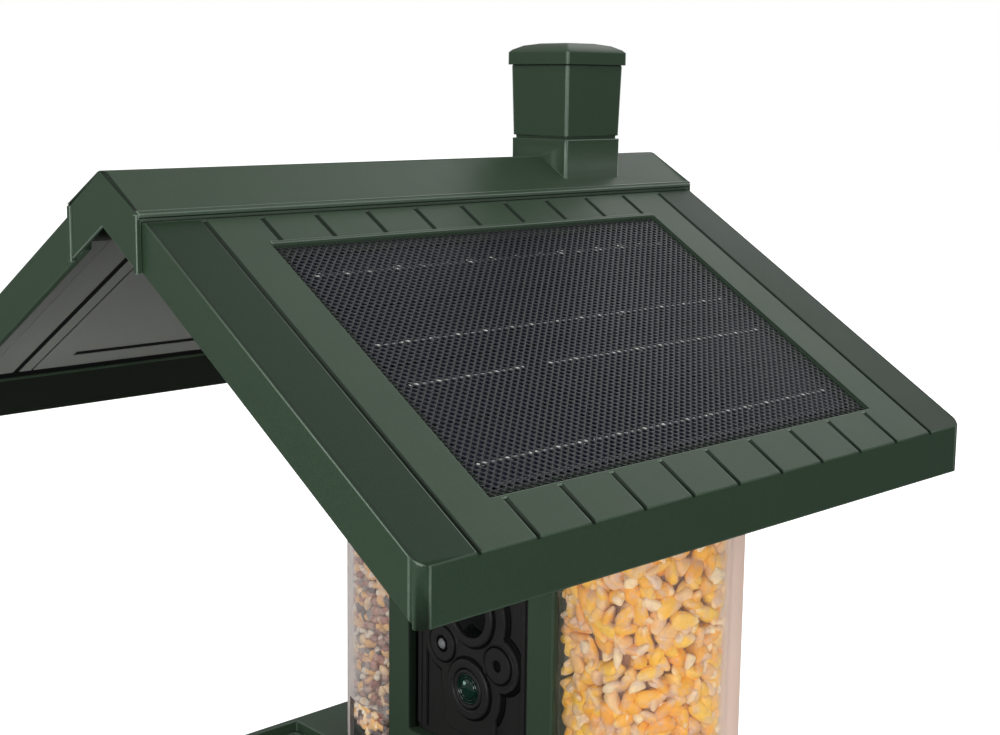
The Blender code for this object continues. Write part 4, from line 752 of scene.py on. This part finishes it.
def dressLinings():
    # grey plates over a black backing, which is painted shade that makes the grooves between them read as deep
    top, bottom, half = lining["top"], lining["bottom"], lining["halfLength"]
    low, high = lining["face"], lining["face"] + lining["plate"]
    inner0, inner1 = lining["innerGroove"]
    outer0, outer1 = lining["outerGroove"]
    strip0, strip1 = lining["edgeStrip"]
    slot0, slot1 = lining["slot"]
    slotHalf, lift = lining["slotHalfLength"], lining["stripDepth"]
    for side in slopeSides:
        bm = copyOfNode(f"roof_lining_{side}")
        back = toSlope[side].inverted()
        for v in bm.verts:
            place = back @ v.co
            if place.z < low + lining["within"]:
                v.co = toSlope[side] @ Vector((place.x, place.y, low + lining["backing"]))
        addPiece(f"roof_lining_{side}.backing", bm, f"roof_{side}", extra["shadeBlack"],
                 [f"roof_lining_{side}"], "lining_grey")
        bm = bmesh.new()
        plates = [(top, slot0, -inner0, inner0, 0), (slot1, bottom, -inner0, inner0, 0)]
        for s0, s1, y0, y1, depth in ((slot0, slot1, slotHalf, inner0, 0), (top, bottom, inner1, outer0, 0),
                                      (top, bottom, outer1, strip0, 0), (top, bottom, strip0, strip1, lift),
                                      (top, bottom, strip1, half, 0)):
            plates += [(s0, s1, y0, y1, depth), (s0, s1, -y1, -y0, depth)]
        for s0, s1, y0, y1, depth in plates:
            box(bm, s0, s1, y0, y1, low + depth, high)
        bmesh.ops.remove_doubles(bm, verts=bm.verts, dist=0.00001)
        inside = [face for face in bm.faces if all(len(edge.link_faces) > 2 for edge in face.edges)]
        bmesh.ops.delete(bm, geom=inside, context="FACES_ONLY")
        bmesh.ops.transform(bm, matrix=toSlope[side], verts=bm.verts)
        addPiece(f"lining_plates_{side}", bm, f"roof_{side}", finish["lining_grey"], slot="lining_grey",
                 smoothAngle=30, evenShading=False)


chimney = {
    "y": 0.0761,
    "foot": -0.012,            # above the ridge line, so this far below it
    "lidJoint": 0.0354,
    "lidJointHalf": 0.0149,
    "lidJointRise": 0.0006,
    "cornerFrom": 0.012,       # the narrow corner faces lie further out than this
    "cornerWithin": 0.02,
}
cap = {
    "ridgeRound": 0.0022,
    "ridgeWithin": 0.0004,
    "gableRound": 0.0012,
    "gableShortest": 0.003,
    "gableSlope": 0.6,                # a little more than the roof's own, so that the soffit stays below
    "edgeRound": 0.0003,
    "edgeShortest": 0.0014,
    "edgesDownTo": 0.03,              # below the ridge line
    "aroundChimney": 0.0145,
    "lipLine": (0.0003, 0.0008),      # out from the slope's surface
    "lipFrom": 0.018,
    "lipWithin": 0.001,
}


def markCorners(bm, index):
    # the narrow upright faces that round the chimney's corners take a painted highlight
    for face in bm.faces:
        middle, out = face.calc_center_median(), face.normal
        near = (abs(middle.y - chimney["y"]) < chimney["cornerWithin"]
                and abs(middle.x) > chimney["cornerFrom"])
        upright = abs(out.z) < 0.1 and min(abs(out.x), abs(out.y)) > 0.1
        if near and upright and middle.z > roof["ridgeHeight"] + chimney["foot"]:
            face.material_index = index


def dressCap():
    green, pale, dark, groove = range(4)

    def onRidge(middle, edge):
        return abs(middle.x) < cap["ridgeWithin"] and middle.z > roof["ridgeHeight"]

    def onGable(middle, edge):
        # the sloping edges of both ends, over the gable fascias
        along = edge.verts[0].co - edge.verts[1].co
        sloping = min(abs(along.x), abs(along.z)) > cap["gableShortest"] and abs(along.y) < tolerance["level"]
        return sloping and abs(middle.y) > roof["halfLength"] and (
            middle.z > roof["ridgeHeight"] - abs(middle.x) * cap["gableSlope"])

    def others(middle, edge):
        atChimney = max(abs(middle.x), abs(middle.y - chimney["y"])) < cap["aroundChimney"]
        return not onRidge(middle, edge) and not onGable(middle, edge) and edge.is_convex and (
            middle.z > roof["ridgeHeight"] - cap["edgesDownTo"]) and not atChimney

    bm = copyOfNode("ridge_cap")
    roundEdges(bm, sharpEdges(bm, onRidge, least=20), cap["ridgeRound"], 5)
    for index, sign in ((dark, 1), (green, -1)):
        # the band on the side away from the light is dark
        for front in (True, False):
            chosen = sharpEdges(bm, lambda middle, edge: onGable(middle, edge) and middle.x * sign > 0
                                and (middle.y < 0) == front, shortest=cap["gableShortest"])
            roundEdges(bm, chosen, cap["gableRound"], 3, index if front else green)
    # the other convex arrises take a painted highlight
    roundEdges(bm, sharpEdges(bm, others, shortest=cap["edgeShortest"]), cap["edgeRound"], 2, pale)
    markCorners(bm, pale)
    # cuts along the lips part off a line of painted shade and a painted highlight under it
    low, high = cap["lipLine"]
    for side, sign in slopeSides.items():
        for level in cap["lipLine"]:
            chosen = [face for face in bm.faces if face.material_index == green and face.normal.x * sign > 0.8
                      and face.calc_center_median().x * sign > cap["lipFrom"]]
            cutAcross(bm, chosen, toSlope[side] @ Vector((roof["capLip"], 0, level)),
                      toSlope[side].to_3x3() @ Vector((0, 0, 1)))
    for face in bm.faces:
        side = "right" if face.normal.x > 0 else "left"
        middle = toSlope[side].inverted() @ face.calc_center_median()
        onLip = abs(face.normal.x) > 0.8 and abs(middle.x - roof["capLip"]) < cap["lipWithin"]
        if face.material_index == green and onLip:
            face.material_index = dark if low < middle.z < high else groove
    addPiece("ridge_cap.dressed", bm, "root", [finish["roof_green"], extra["arrisHighlight"], extra["greenShade"],
                                               extra["lineHighlight"]], ["ridge_cap"], "roof_green", 40)


def dressChimney():
    for node in ("chimney_shaft", "chimney_lid"):
        bm = copyOfNode(node)
        roundEdges(bm, sharpEdges(bm, lambda middle, edge: isLevel(edge)), 0.0003)
        markCorners(bm, 1)
        addPiece(node + ".dressed", bm, "chimney", [finish["roof_green"], extra["arrisHighlight"]], [node],
                 "roof_green")
    # the dark joint under the lid
    bm = bmesh.new()
    half, rise = chimney["lidJointHalf"], chimney["lidJointRise"]
    joint = roof["ridgeHeight"] + chimney["lidJoint"]
    box(bm, -half, half, chimney["y"] - half, chimney["y"] + half, joint - rise, joint + rise)
    addPiece("lid_joint", bm, "chimney", extra["insideShadeAndJoint"], slot="roof_green")


seedBed = {
    "axisX": 0.062,
    "axisY": 0.06,
    "radius": 0.0332,
    "chordX": 0.0484,
    "baffleDistance": 0.0255,
    "baffleAngle": math.radians(47.8),
    "rampFrontY": 0.0266, "rampFrontZ": 0.0302,
    "rampBackY": 0.0934, "rampBackZ": 0.0626,
    "top": 0.168,
    "heap": 0.004,             # how far a seed may stand above the top
    "outlinePoints": 180,
    "tries": 30,               # darts thrown for each place
    "clear": 0.001,            # above the ramp
    "topX": (0.048, 0.1),
    "topY": (0.024, 0.099),
    "topInset": 0.0015,
    "topArea": 0.0034,
    "unevenness": 0.0015,
    "batch": 120,              # seeds made in one mesh before they are joined
}


def cornShape(co, broken, lean):
    # a unit ball pulled into a kernel, with a narrow pale tip at -Y and a broad dented crown at +Y;
    # lean bends it sideways
    along = (co.y + 1) / 2
    width = 0.62 + 0.40 * along ** 0.8
    thick = 0.6 + 0.45 * along
    x, y, z = (co.x + lean * (co.y * co.y - 0.4)) * width, co.y, (co.z + lean * 0.6 * co.x * co.y) * thick
    if y > 0.55:
        y = 0.55 + (y - 0.55) * 0.45
        y -= 0.16 * max(0, 1 - (x * x + z * z) * 3)
    if broken and y > 0.1:
        y = 0.1 + (y - 0.1) * 0.25
    return Vector((x, y, z))


def chipShape(co, broken, lean):
    return Vector((co.x * (1 - 0.35 * abs(co.y)), co.y, co.z))


def plainShape(co, broken, lean):
    return co.copy()


# layers: spacing, depth behind the wall, and whether it is the level top
# kinds: share, range of tone, size across, along and through, tilt, share broken, fineness and shape
cornFill = {
    "core": 0.0065,
    "seed": 7,
    "layers": [(0.0052, 0.0002, False), (0.0052, 0.0034, False), (0.006, 0.0, True)],
    "kinds": [
        {"share": 0.64, "tones": (0.0, 0.72), "size": (0.0084, 0.0134, 0.0054), "tilt": 0.75, "broken": 0,
         "steps": 2, "shape": cornShape},
        {"share": 0.22, "tones": (0.70, 0.9), "size": (0.0084, 0.0116, 0.0054), "tilt": 0.9, "broken": 0.6,
         "steps": 2, "shape": cornShape},
        {"share": 0.14, "tones": (0.95, 1.0), "size": (0.0058, 0.0096, 0.0044), "tilt": 0.9, "broken": 0.5,
         "steps": 2, "shape": cornShape},
    ],
}
mixedFill = {
    "core": 0.004,
    "seed": 11,
    "layers": [(0.0033, 0.0001, False), (0.0036, 0.0024, False), (0.0036, 0.0, True)],
    "kinds": [
        {"share": 0.34, "tones": (0.01, 0.29), "size": (0.0046, 0.0066, 0.0034), "tilt": 0.8, "broken": 0,
         "steps": 2, "shape": chipShape},
        {"share": 0.28, "tones": (0.31, 0.57), "size": (0.0046, 0.0052, 0.004), "tilt": 0.8, "broken": 0,
         "steps": 1, "shape": plainShape},
        {"share": 0.16, "tones": (0.59, 0.82), "size": (0.0050, 0.0096, 0.0034), "tilt": 0.6, "broken": 0,
         "steps": 2, "shape": chipShape},
        {"share": 0.22, "tones": (0.84, 1.0), "size": (0.0036, 0.0042, 0.0032), "tilt": 0.8, "broken": 0,
         "steps": 1, "shape": plainShape},
    ],
}


def wallPath(inset):
    # the seed's outline against the hopper wall, the flat rear plate and the column, for the right side
    bed = seedBed
    radius, distance = bed["radius"] - inset, bed["baffleDistance"] - inset
    chord = bed["chordX"] + inset - bed["axisX"]
    points = []
    for i in range(bed["outlinePoints"]):
        angle = 2 * math.pi * i / bed["outlinePoints"]
        direction = Vector((math.cos(angle), math.sin(angle)))
        reach = radius
        facing = math.cos(angle - bed["baffleAngle"])
        if facing > 0.05:
            reach = min(reach, distance / facing)
        if direction.x < -0.01:
            reach = min(reach, chord / direction.x)
        points.append((Vector((bed["axisX"], bed["axisY"])) + direction * reach, direction))
    return points


def floorHeight(y):
    bed = seedBed
    share = (y - bed["rampFrontY"]) / (bed["rampBackY"] - bed["rampFrontY"])
    return bed["rampFrontZ"] + (bed["rampBackZ"] - bed["rampFrontZ"]) * max(0, min(1, share))


def keepInside(point, inset):
    # moves a point of a seed back inside the bed
    bed = seedBed
    flat = Vector((point.x - bed["axisX"], point.y - bed["axisY"]))
    if flat.length > bed["radius"] - inset:
        flat *= (bed["radius"] - inset) / flat.length
    normal = Vector((math.cos(bed["baffleAngle"]), math.sin(bed["baffleAngle"])))
    over = flat.dot(normal) - (bed["baffleDistance"] - inset)
    if over > 0:
        flat -= normal * over
    x = max(flat.x + bed["axisX"], bed["chordX"] + inset)
    y = flat.y + bed["axisY"]
    z = min(max(point.z, floorHeight(y) + inset), bed["top"] + bed["heap"])
    return Vector((x, y, z))


def addCore(name, side, depth, material, slot):
    # a plain block behind the loose seeds, in a darker seed colour: painted shade of the deep gaps between
    # them
    bm = bmesh.new()
    ring = [bm.verts.new((p.x, p.y, floorHeight(p.y) + seedBed["clear"])) for p, _ in wallPath(depth)[::4]]
    top = bmesh.ops.extrude_face_region(bm, geom=[bm.faces.new(ring)])
    for v in top["geom"]:
        if isinstance(v, bmesh.types.BMVert):
            v.co.z = seedBed["top"] - depth * 0.8
    bmesh.ops.scale(bm, verts=bm.verts, vec=(slopeSides[side], 1, 1))
    bmesh.ops.recalc_face_normals(bm, faces=bm.faces)
    addPiece(name, bm, "root", material, slot=slot)


def topPlaces(chance, spacing, depth, near, keep):
    # over the seed's level top, a little uneven
    bed = seedBed
    top = bed["top"] - depth
    places = []
    for _ in range(int(bed["tries"] * bed["topArea"] / spacing ** 2)):
        u, v = chance.uniform(*bed["topX"]), chance.uniform(*bed["topY"])
        point = keepInside(Vector((u, v, top)), bed["topInset"])
        if (point.x - u) ** 2 + (point.y - v) ** 2 > 1e-8 or near(u, v):
            continue
        keep(u, v)
        uneven = bed["unevenness"] * math.sin(u * 90) * math.cos(v * 70)
        places.append((Vector((u, v, top + uneven)), Vector((0, 0, 1))))
    return places


def wallPlaces(chance, spacing, depth, near, keep):
    # all round the wall, from the sloping floor up to the top
    bed, path = seedBed, wallPath(depth)
    lengths = [0]
    for (a, _), (b, _) in zip(path, path[1:] + path[:1]):
        lengths.append(lengths[-1] + (b - a).length)
    around = lengths[-1]
    places = []
    for _ in range(int(bed["tries"] * around * (bed["top"] - bed["rampFrontZ"]) / spacing ** 2)):
        u = chance.uniform(0, around)
        z = chance.uniform(bed["rampFrontZ"] + depth, bed["top"] - depth)
        if near(u, z):
            continue
        index = next(i for i, length in enumerate(lengths) if length > u) - 1
        a, direction = path[index]
        b, _ = path[(index + 1) % len(path)]
        point = a.lerp(b, (u - lengths[index]) / max(1e-9, lengths[index + 1] - lengths[index]))
        if z < floorHeight(point.y) + bed["clear"] or point.x < bed["chordX"] + depth + 0.0002:
            continue
        keep(u, z)
        places.append((Vector((point.x, point.y, z)), Vector((direction.x, direction.y, 0))))
    return places


def seedPlaces(chance, spacing, depth, onTop):
    # dart throwing: a place is kept where no other one is nearer than the spacing
    grid = {}

    def near(u, v):
        cu, cv = int(u / spacing), int(v / spacing)
        return any((pu - u) ** 2 + (pv - v) ** 2 < spacing ** 2
                   for i in (-1, 0, 1) for j in (-1, 0, 1) for pu, pv in grid.get((cu + i, cv + j), ()))

    def keep(u, v):
        grid.setdefault((int(u / spacing), int(v / spacing)), []).append((u, v))

    return (topPlaces if onTop else wallPlaces)(chance, spacing, depth, near, keep)


def addSeed(bm, uv, chance, kinds, point, out, depth):
    pick, total = chance.random(), 0
    for kind in kinds:
        total += kind["share"]
        if pick <= total:
            break
    half = Vector(kind["size"]) * chance.uniform(0.86, 1.12) / 2
    tone = chance.uniform(*kind["tones"])
    broken = chance.random() < kind["broken"]
    lean = chance.uniform(-0.45, 0.45)
    half.x *= chance.uniform(0.82, 1.12)
    # thin side outwards, then tipped at random
    tip = Matrix.Rotation(chance.gauss(0, kind["tilt"]), 3, "X") @ Matrix.Rotation(
        chance.gauss(0, kind["tilt"]), 3, "Y")
    turn = out.to_track_quat("Z", "Y").to_matrix() @ tip @ Matrix.Rotation(
        chance.uniform(0, 2 * math.pi), 3, "Z")
    made = bmesh.ops.create_icosphere(bm, subdivisions=kind["steps"], radius=1)["verts"]
    places = []
    for v in made:
        crown = (v.co.y + 1) / 2
        co = kind["shape"](v.co, broken, lean)
        places.append(turn @ Vector((co.x * half.x, co.y * half.y, co.z * half.z)))
        for loop in v.link_loops:
            loop[uv].uv = (tone, crown)
    centre = point - out * max(0, max(max(p.dot(out) for p in places), 0) - depth)
    for v, p in zip(made, places):
        v.co = keepInside(centre + p, 0.0001)


def scatterSeeds(name, side, fill, material, slot, replaced):
    # small batches first, because a large bmesh grows slow
    chance = random.Random(fill["seed"])
    batches = []
    for spacing, depth, onTop in fill["layers"]:
        places = seedPlaces(chance, spacing, depth, onTop)
        for start in range(0, len(places), seedBed["batch"]):
            bm = bmesh.new()
            uv = bm.loops.layers.uv.new("seed")
            for point, out in places[start:start + seedBed["batch"]]:
                addSeed(bm, uv, chance, fill["kinds"], point, out, depth)
            if side == "left":
                bmesh.ops.scale(bm, verts=bm.verts, vec=(-1, 1, 1))
                bmesh.ops.reverse_faces(bm, faces=bm.faces)
            mesh = bpy.data.meshes.new("batch")
            bm.to_mesh(mesh)
            bm.free()
            batches.append(mesh)
    bm = bmesh.new()
    for mesh in batches:
        bm.from_mesh(mesh)
        bpy.data.meshes.remove(mesh)
    print(name, len(bm.faces), "faces")
    addPiece(name, bm, "root", material, [replaced], slot, smoothAngle=70, evenShading=False)


def addSeeds():
    addCore("corn_core", "right", cornFill["core"], extra["cornCoreShade"], "corn")
    scatterSeeds("corn_kernels", "right", cornFill, finish["corn"], "corn", "corn_fill")
    addCore("mixed_core", "left", mixedFill["core"], extra["seedCoreShade"], "mixed_seed")
    scatterSeeds("mixed_seeds", "left", mixedFill, finish["mixed_seed"], "mixed_seed", "mixed_seed_fill")


hopper = {
    "rimAbove": 0.199,
    "rimRound": 0.0006,
}


def dressHoppers():
    for side, material in (("right", finish["clear_plastic"]), ("left", extra["clearPlasticLeft"])):
        bm = copyOfNode(f"hopper_{side}")
        rim = sharpEdges(bm, lambda middle, edge: middle.z > hopper["rimAbove"] and isLevel(edge, 0.00001))
        roundEdges(bm, rim, hopper["rimRound"], 3)
        addPiece(f"hopper_{side}.dressed", bm, "root", material, [f"hopper_{side}"], "clear_plastic", 30)


column = {
    "openingHalf": 0.0345,
    "within": 0.0005,          # edges this near the opening count as its own
    "between": 0.0015,
    "tall": 0.02,
    "innerRound": 0.0016,
    "outerRound": 0.0007,
}


def dressColumn():
    # soft inner edges, and inner sides down to the camera in painted shade
    inside = column["openingHalf"] + column["within"]

    def onOpening(middle, edge):
        return not isLevel(edge, column["tall"]) and abs(middle.x) < inside

    bm = copyOfNode("column_frame")
    roundEdges(bm, sharpEdges(bm, onOpening), column["innerRound"], 4)
    outer = sharpEdges(bm, lambda middle, edge: abs(middle.x) > inside + column["between"])
    roundEdges(bm, outer, column["outerRound"], 3)
    for face in bm.faces:
        x = face.calc_center_median().x
        if abs(face.normal.x) > 0.8 and face.normal.x * x < 0 and abs(x) < inside:
            face.material_index = 1
    addPiece("column_frame.dressed", bm, "root", [finish["body_green"], extra["greenShade"]], ["column_frame"],
             "body_green")
    dressed("column_shell", "body_green", 0.0005)
    dressed("rear_cover", "body_green")
    dressed("wall_bracket", "frame_green", 0.0006)
    dressed("ridge_beam", "lining_grey", 0.0003, 1, where=lambda middle, edge: edge.calc_length() > 0.006)


drainScreen = {
    "columns": 28,
    "rowPairs": 28,
    "surface": -0.0002,
    "thickness": 0.0006,
    "holeHalfAlong": 0.0016,
    "holeHalfAcross": 0.0010,
    "margin": 0.0012,
    "frame": 0.0032,
}


def dressBase():
    # the base's and the tray's rounded arrises take a painted highlight
    for node, width in (("base", 0.0006), ("seed_tray", 0.0004)):
        dressed(node, "body_green", width, arris=extra["lineHighlight"], joinFlats=False)
    dressed("perch", "body_green", 0.0005)
    for side in slopeSides:
        dressed(f"seed_chute_{side}", "chute_grey", 0.0003, 1)
        for end in ("front", "back"):
            dressed(f"foot_{end}_{side}", "rubber", 0.0005)
    # the drain screen is a coarser mesh in a flat frame
    low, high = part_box("drain_screen")
    margin = drainScreen["margin"]
    flat = Matrix.Translation((0, 0, high[2])) @ Matrix.Rotation(math.pi / 2, 4, "Z")
    addLattice("drain_screen.mesh", "seed_tray", "drain_screen", flat, drainScreen, low[1] + margin,
               high[1] - margin, high[0] - margin)
    bm = bmesh.new()
    box(bm, low[0], high[0], low[1], high[1], low[2], high[2])
    bmesh.ops.delete(bm, geom=[face for face in bm.faces if abs(face.normal.z) > 0.9], context="FACES_ONLY")
    bmesh.ops.solidify(bm, geom=bm.faces, thickness=drainScreen["frame"])
    roundEdges(bm, sharpEdges(bm, lambda middle, edge: abs(middle.z - high[2]) < 0.00001), 0.0002)
    addPiece("drain_frame", bm, "seed_tray", finish["mesh_black"], slot="mesh_black")


camera = {
    "face": 0.03,
    "islandFace": 0.028,
    "bossFace": 0.0272,
    "glass": 0.0272,
    "statusPlace": (-0.016, 0.0855),       # x and z
    "microphonePlace": (0.016, 0.0855),
    "motionPlace": (0, 0.1025),
    "lensPlace": (0, 0.0715),
    # rings: radius and wire
    "bossRing": (0.0086, 0.0003),
    "shadowRadii": {"motionPlace": 0.0199, "lensPlace": 0.0175, "microphonePlace": 0.0115,
                    "statusPlace": 0.0115},
    "shadowWire": 0.0013,
    "islandRadii": {"statusPlace": 0.0074, "microphonePlace": 0.0074, "lensPlace": 0.0125,
                    "motionPlace": 0.0140},
    "islandWire": 0.0006,
    "statusRing": (0.0027, 0.0004),
    "ringLift": 0.0002,                    # the painted shadow rings stand this far in front of their face
    "statusLift": 0.0001,
    "lensHood": (0.0070, 0.0009),
    "lensRings": ((0.0058, 0.0003), (0.0046, 0.0003)),
    # upright lines of painted shadow down the face
    "shadowLineX": (-0.0327, -0.03, -0.0272, 0.0272, 0.03, 0.0327),
    "shadowLineHalf": 0.0004,
    "shadowLineDepth": (-0.0002, 0.0004),
    "shadowLineZ": (0.047, 0.175),
    "holeShade": (0.0023, 0.0003, 0.0009),     # a black disc, painted shade of the microphone's hole: radius, thickness and how far in front of the boss
    "statusScale": 0.72,
    "eyeRadius": 0.0040,
    "eyeRise": 0.0010,
    "glint": (-0.0014, 0.0022, 0.0009),    # place on the lens from its axis, and radius
    "glintRise": 0.0003,
    "glintBack": 0.0008,
}


def ringOf(bm, place, y, radius, wire, sides=48, wireSides=8):
    # a thin round ring lying on a face that looks to the front
    x, z = place
    verts = []
    for i in range(wireSides):
        t = 2 * math.pi * i / wireSides
        verts.append(bm.verts.new((x + radius + wire * math.cos(t), y + wire * math.sin(t), z)))
    edges = [bm.edges.new(pair) for pair in zip(verts, verts[1:] + verts[:1])]
    bmesh.ops.spin(bm, geom=verts + edges, cent=(x, y, z), axis=(0, 1, 0), angle=2 * math.pi, steps=sides,
                   use_merge=True)


def addCameraPiece(name, bm, material, slot="camera_black", **settings):
    bmesh.ops.recalc_face_normals(bm, faces=bm.faces)
    addPiece(name, bm, "camera", material, slot=slot, **settings)


def dressCamera():
    dressed("camera_front", "camera_black", 0.0003, joinFlats=False)
    # fine raised rings round both bosses
    bm = bmesh.new()
    for name in ("statusPlace", "microphonePlace"):
        ringOf(bm, camera[name], camera["islandFace"], *camera["bossRing"])
    addCameraPiece("boss_rings", bm, finish["camera_black"])
    # painted shadow: black rings round the lens group, its bosses and the status light, and upright lines down
    # both sides
    bm = bmesh.new()
    for name, radius in camera["shadowRadii"].items():
        ringOf(bm, camera[name], camera["face"] + camera["ringLift"], radius, camera["shadowWire"])
    for name, radius in camera["islandRadii"].items():
        ringOf(bm, camera[name], camera["islandFace"] + camera["ringLift"], radius, camera["islandWire"])
    ringOf(bm, camera["statusPlace"], camera["bossFace"] + camera["statusLift"], *camera["statusRing"], 24)
    half, (shadowBack, shadowFront) = camera["shadowLineHalf"], camera["shadowLineDepth"]
    for x in camera["shadowLineX"]:
        box(bm, x - half, x + half, camera["face"] + shadowBack, camera["face"] + shadowFront, *camera["shadowLineZ"])
    addCameraPiece("shadow_gaps", bm, extra["shadeBlack"])
    # a black disc over the microphone: painted shade of its hole
    bm = bmesh.new()
    x, z = camera["microphonePlace"]
    radius, depth, lift = camera["holeShade"]
    bmesh.ops.create_cone(bm, cap_ends=True, segments=24, radius1=radius, radius2=radius, depth=depth,
                          matrix=Matrix.Translation((x, camera["bossFace"] + lift, z))
                          @ Matrix.Rotation(math.pi / 2, 4, "X"))
    addCameraPiece("microphone_hole_shade", bm, extra["shadeBlack"], "steel")
    # inside the lens glass: a stepped hood, a small convex eye and the glint on it
    bm = bmesh.new()
    ringOf(bm, camera["lensPlace"], camera["glass"], *camera["lensHood"])
    addCameraPiece("lens_hood", bm, finish["camera_black"])
    bm = bmesh.new()
    for ring in camera["lensRings"]:
        ringOf(bm, camera["lensPlace"], camera["glass"], *ring)
    addCameraPiece("lens_rings", bm, extra["lensCoating"], "lens_glass")
    x, z = camera["lensPlace"]
    across, up, radius = camera["glint"]
    for name, place, size, rise, material in (
            ("lens_eye", (x, camera["glass"], z), camera["eyeRadius"], camera["eyeRise"],
             extra["lensCoating"]),
            ("lens_glint", (x + across, camera["glass"] - camera["glintBack"], z + up), radius,
             camera["glintRise"], extra["lensGlint"])):
        bm = bmesh.new()
        bmesh.ops.create_icosphere(bm, subdivisions=3, radius=1, matrix=Matrix.Translation(place)
                                   @ Matrix.Diagonal((size, rise, size, 1)))
        addCameraPiece(name, bm, material, "lens_glass", smoothAngle=80)
    for node, name, width, segments in (
            ("camera_back", "camera_black", 0.0004, 2), ("motion_ring", "camera_black", 0.0002, 2),
            ("lens_ring", "camera_black", 0.0002, 2), ("motion_window", "dark_window", 0.0001, 1),
            ("lens_window", "lens_glass", 0.0001, 1), ("power_button", "rubber", 0.0003, 2),
            ("socket_cover", "rubber", 0.0003, 2)):
        dressed(node, name, width, segments)
    bm = copyOfNode("status_light")
    x, z = camera["statusPlace"]
    bmesh.ops.scale(bm, verts=bm.verts, vec=(camera["statusScale"], 1, camera["statusScale"]),
                    space=Matrix.Translation((-x, 0, -z)))
    addPiece("status_light.dressed", bm, "camera", finish["status_white"], ["status_light"],
             "status_white", 60)


def paintTheRest():
    paint = {
        "steel": ("hanging_eye", "hinge_pin_right", "hinge_pin_left", "cover_screw_low", "cover_screw_high",
                  "bracket_screw_right", "bracket_screw_left", "camera_screw_right", "camera_screw_left",
                  "motion_sensor", "microphone", "charging_socket"),
        "circuit": ("charge_board", "main_board"),
        "battery_wrap": ("battery_right", "battery_left"),
        "rubber": ("camera_seal",),
        "camera_black": ("battery_holder", "lens_barrel"),
    }
    for name, members in paint.items():
        for node in members:
            repaint(node, finish[name])


studio = {
    "ambient": 0.88,
    "ceiling": (0.16, 0.44),       # what reflections see low down and overhead
    "floorTone": 0.8,
    "floorToneInGloss": 0.12,      # gloss on the part sees a darker floor than the eye does
    "floorLight": 0.55,
    "lamps": (
        # name, place, aim, width, height, watts
        ("keyAbove", (0.35, -0.75, 1.25), (0, 0, 0.2), 0.9, 0.9, 8.0),
        ("rearAbove", (-0.25, 1.15, 1.05), (0, 0, 0.25), 1.4, 0.7, 3.6),
        ("frontLeft", (-1.1, -0.9, 0.45), (0, 0, 0.2), 0.8, 0.9, 0.6),
        ("lowFront", (0.62, -0.72, 0.30), (0.05, 0.03, 0.1), 0.5, 0.4, 3.6),
    ),
    "lens": 55.13,
    "place": (0.4232, -0.3574, 0.3060),
    "yaw": math.radians(47.79),
    "pitchDown": math.radians(8.47),
    "roll": math.radians(0.54),
    "shift": (0.02968, -0.05538),
}


def addFloor():
    floor = bmesh.new()
    bmesh.ops.create_grid(floor, x_segments=1, y_segments=1, size=6)
    mesh = bpy.data.meshes.new("floor")
    floor.to_mesh(mesh)
    floor.free()
    piece = bpy.data.objects.new("floor", mesh)
    bpy.context.scene.collection.objects.link(piece)
    material, tree, shader = newFinish("paleFloor")
    path = addNode(tree, "ShaderNodeLightPath").outputs
    tone, glossTone = studio["floorTone"], studio["floorToneInGloss"]
    shown = mixColour(tree, path["Is Glossy Ray"], (tone, tone, tone, 1),
                      (glossTone, glossTone, glossTone, 1))
    seen = doMath(tree, "MAXIMUM", path["Is Camera Ray"], path["Is Transmission Ray"])
    feed(tree, shader, {"Base Color": shown, "Roughness": 0.7, "Specular IOR Level": 0.1,
                        "Emission Color": (1, 1, 1, 1),
                        "Emission Strength": doMath(tree, "MULTIPLY", seen, studio["floorLight"])})
    mesh.materials.append(material)


def addWorld():
    world = bpy.data.worlds.new("studio")
    bpy.context.scene.world = world
    world.use_nodes = True
    tree = world.node_tree
    path = addNode(tree, "ShaderNodeLightPath").outputs
    # reflections see a dim horizon and a brighter ceiling
    ceiling = remap(tree, partOf(tree, ownPlace(tree, "Generated"), "Z"), -0.1, 0.8, *studio["ceiling"])
    lit = mixValue(tree, path["Is Glossy Ray"], studio["ambient"], ceiling)
    seen = doMath(tree, "MAXIMUM", path["Is Camera Ray"], path["Is Transmission Ray"])
    feed(tree, tree.nodes["Background"], {"Color": (1, 1, 1, 1), "Strength": mixValue(tree, seen, lit, 1.0)})


def addLampsAndCamera():
    scene = bpy.context.scene
    scene.view_settings.view_transform = "Standard"
    for name, where, aim, width, height, watts in studio["lamps"]:
        data = bpy.data.lights.new(name, "AREA")
        data.shape = "RECTANGLE"
        data.size, data.size_y, data.energy = width, height, watts
        lamp = bpy.data.objects.new(name, data)
        scene.collection.objects.link(lamp)
        lamp.location = where
        lamp.rotation_euler = (Vector(aim) - Vector(where)).to_track_quat("-Z", "Y").to_euler()
    data = bpy.data.cameras.new("photoCamera")
    data.sensor_width = 36
    data.lens = studio["lens"]
    data.shift_x, data.shift_y = studio["shift"]
    data.clip_start, data.clip_end = 0.01, 50
    view = bpy.data.objects.new("photoCamera", data)
    scene.collection.objects.link(view)
    view.matrix_world = (Matrix.Translation(studio["place"]) @ Matrix.Rotation(studio["yaw"], 4, "Z")
                         @ Matrix.Rotation(math.pi / 2 - studio["pitchDown"], 4, "X")
                         @ Matrix.Rotation(studio["roll"], 4, "Z"))
    scene.camera = view


for stage in (addLampsAndCamera, addWorld, addFloor, dressSlopes, addScreens, addCells, dressLinings,
              dressCap, dressChimney, dressHoppers, addSeeds, dressColumn, dressBase, dressCamera,
              paintTheRest):
    stage()
    print("done:", stage.__name__)
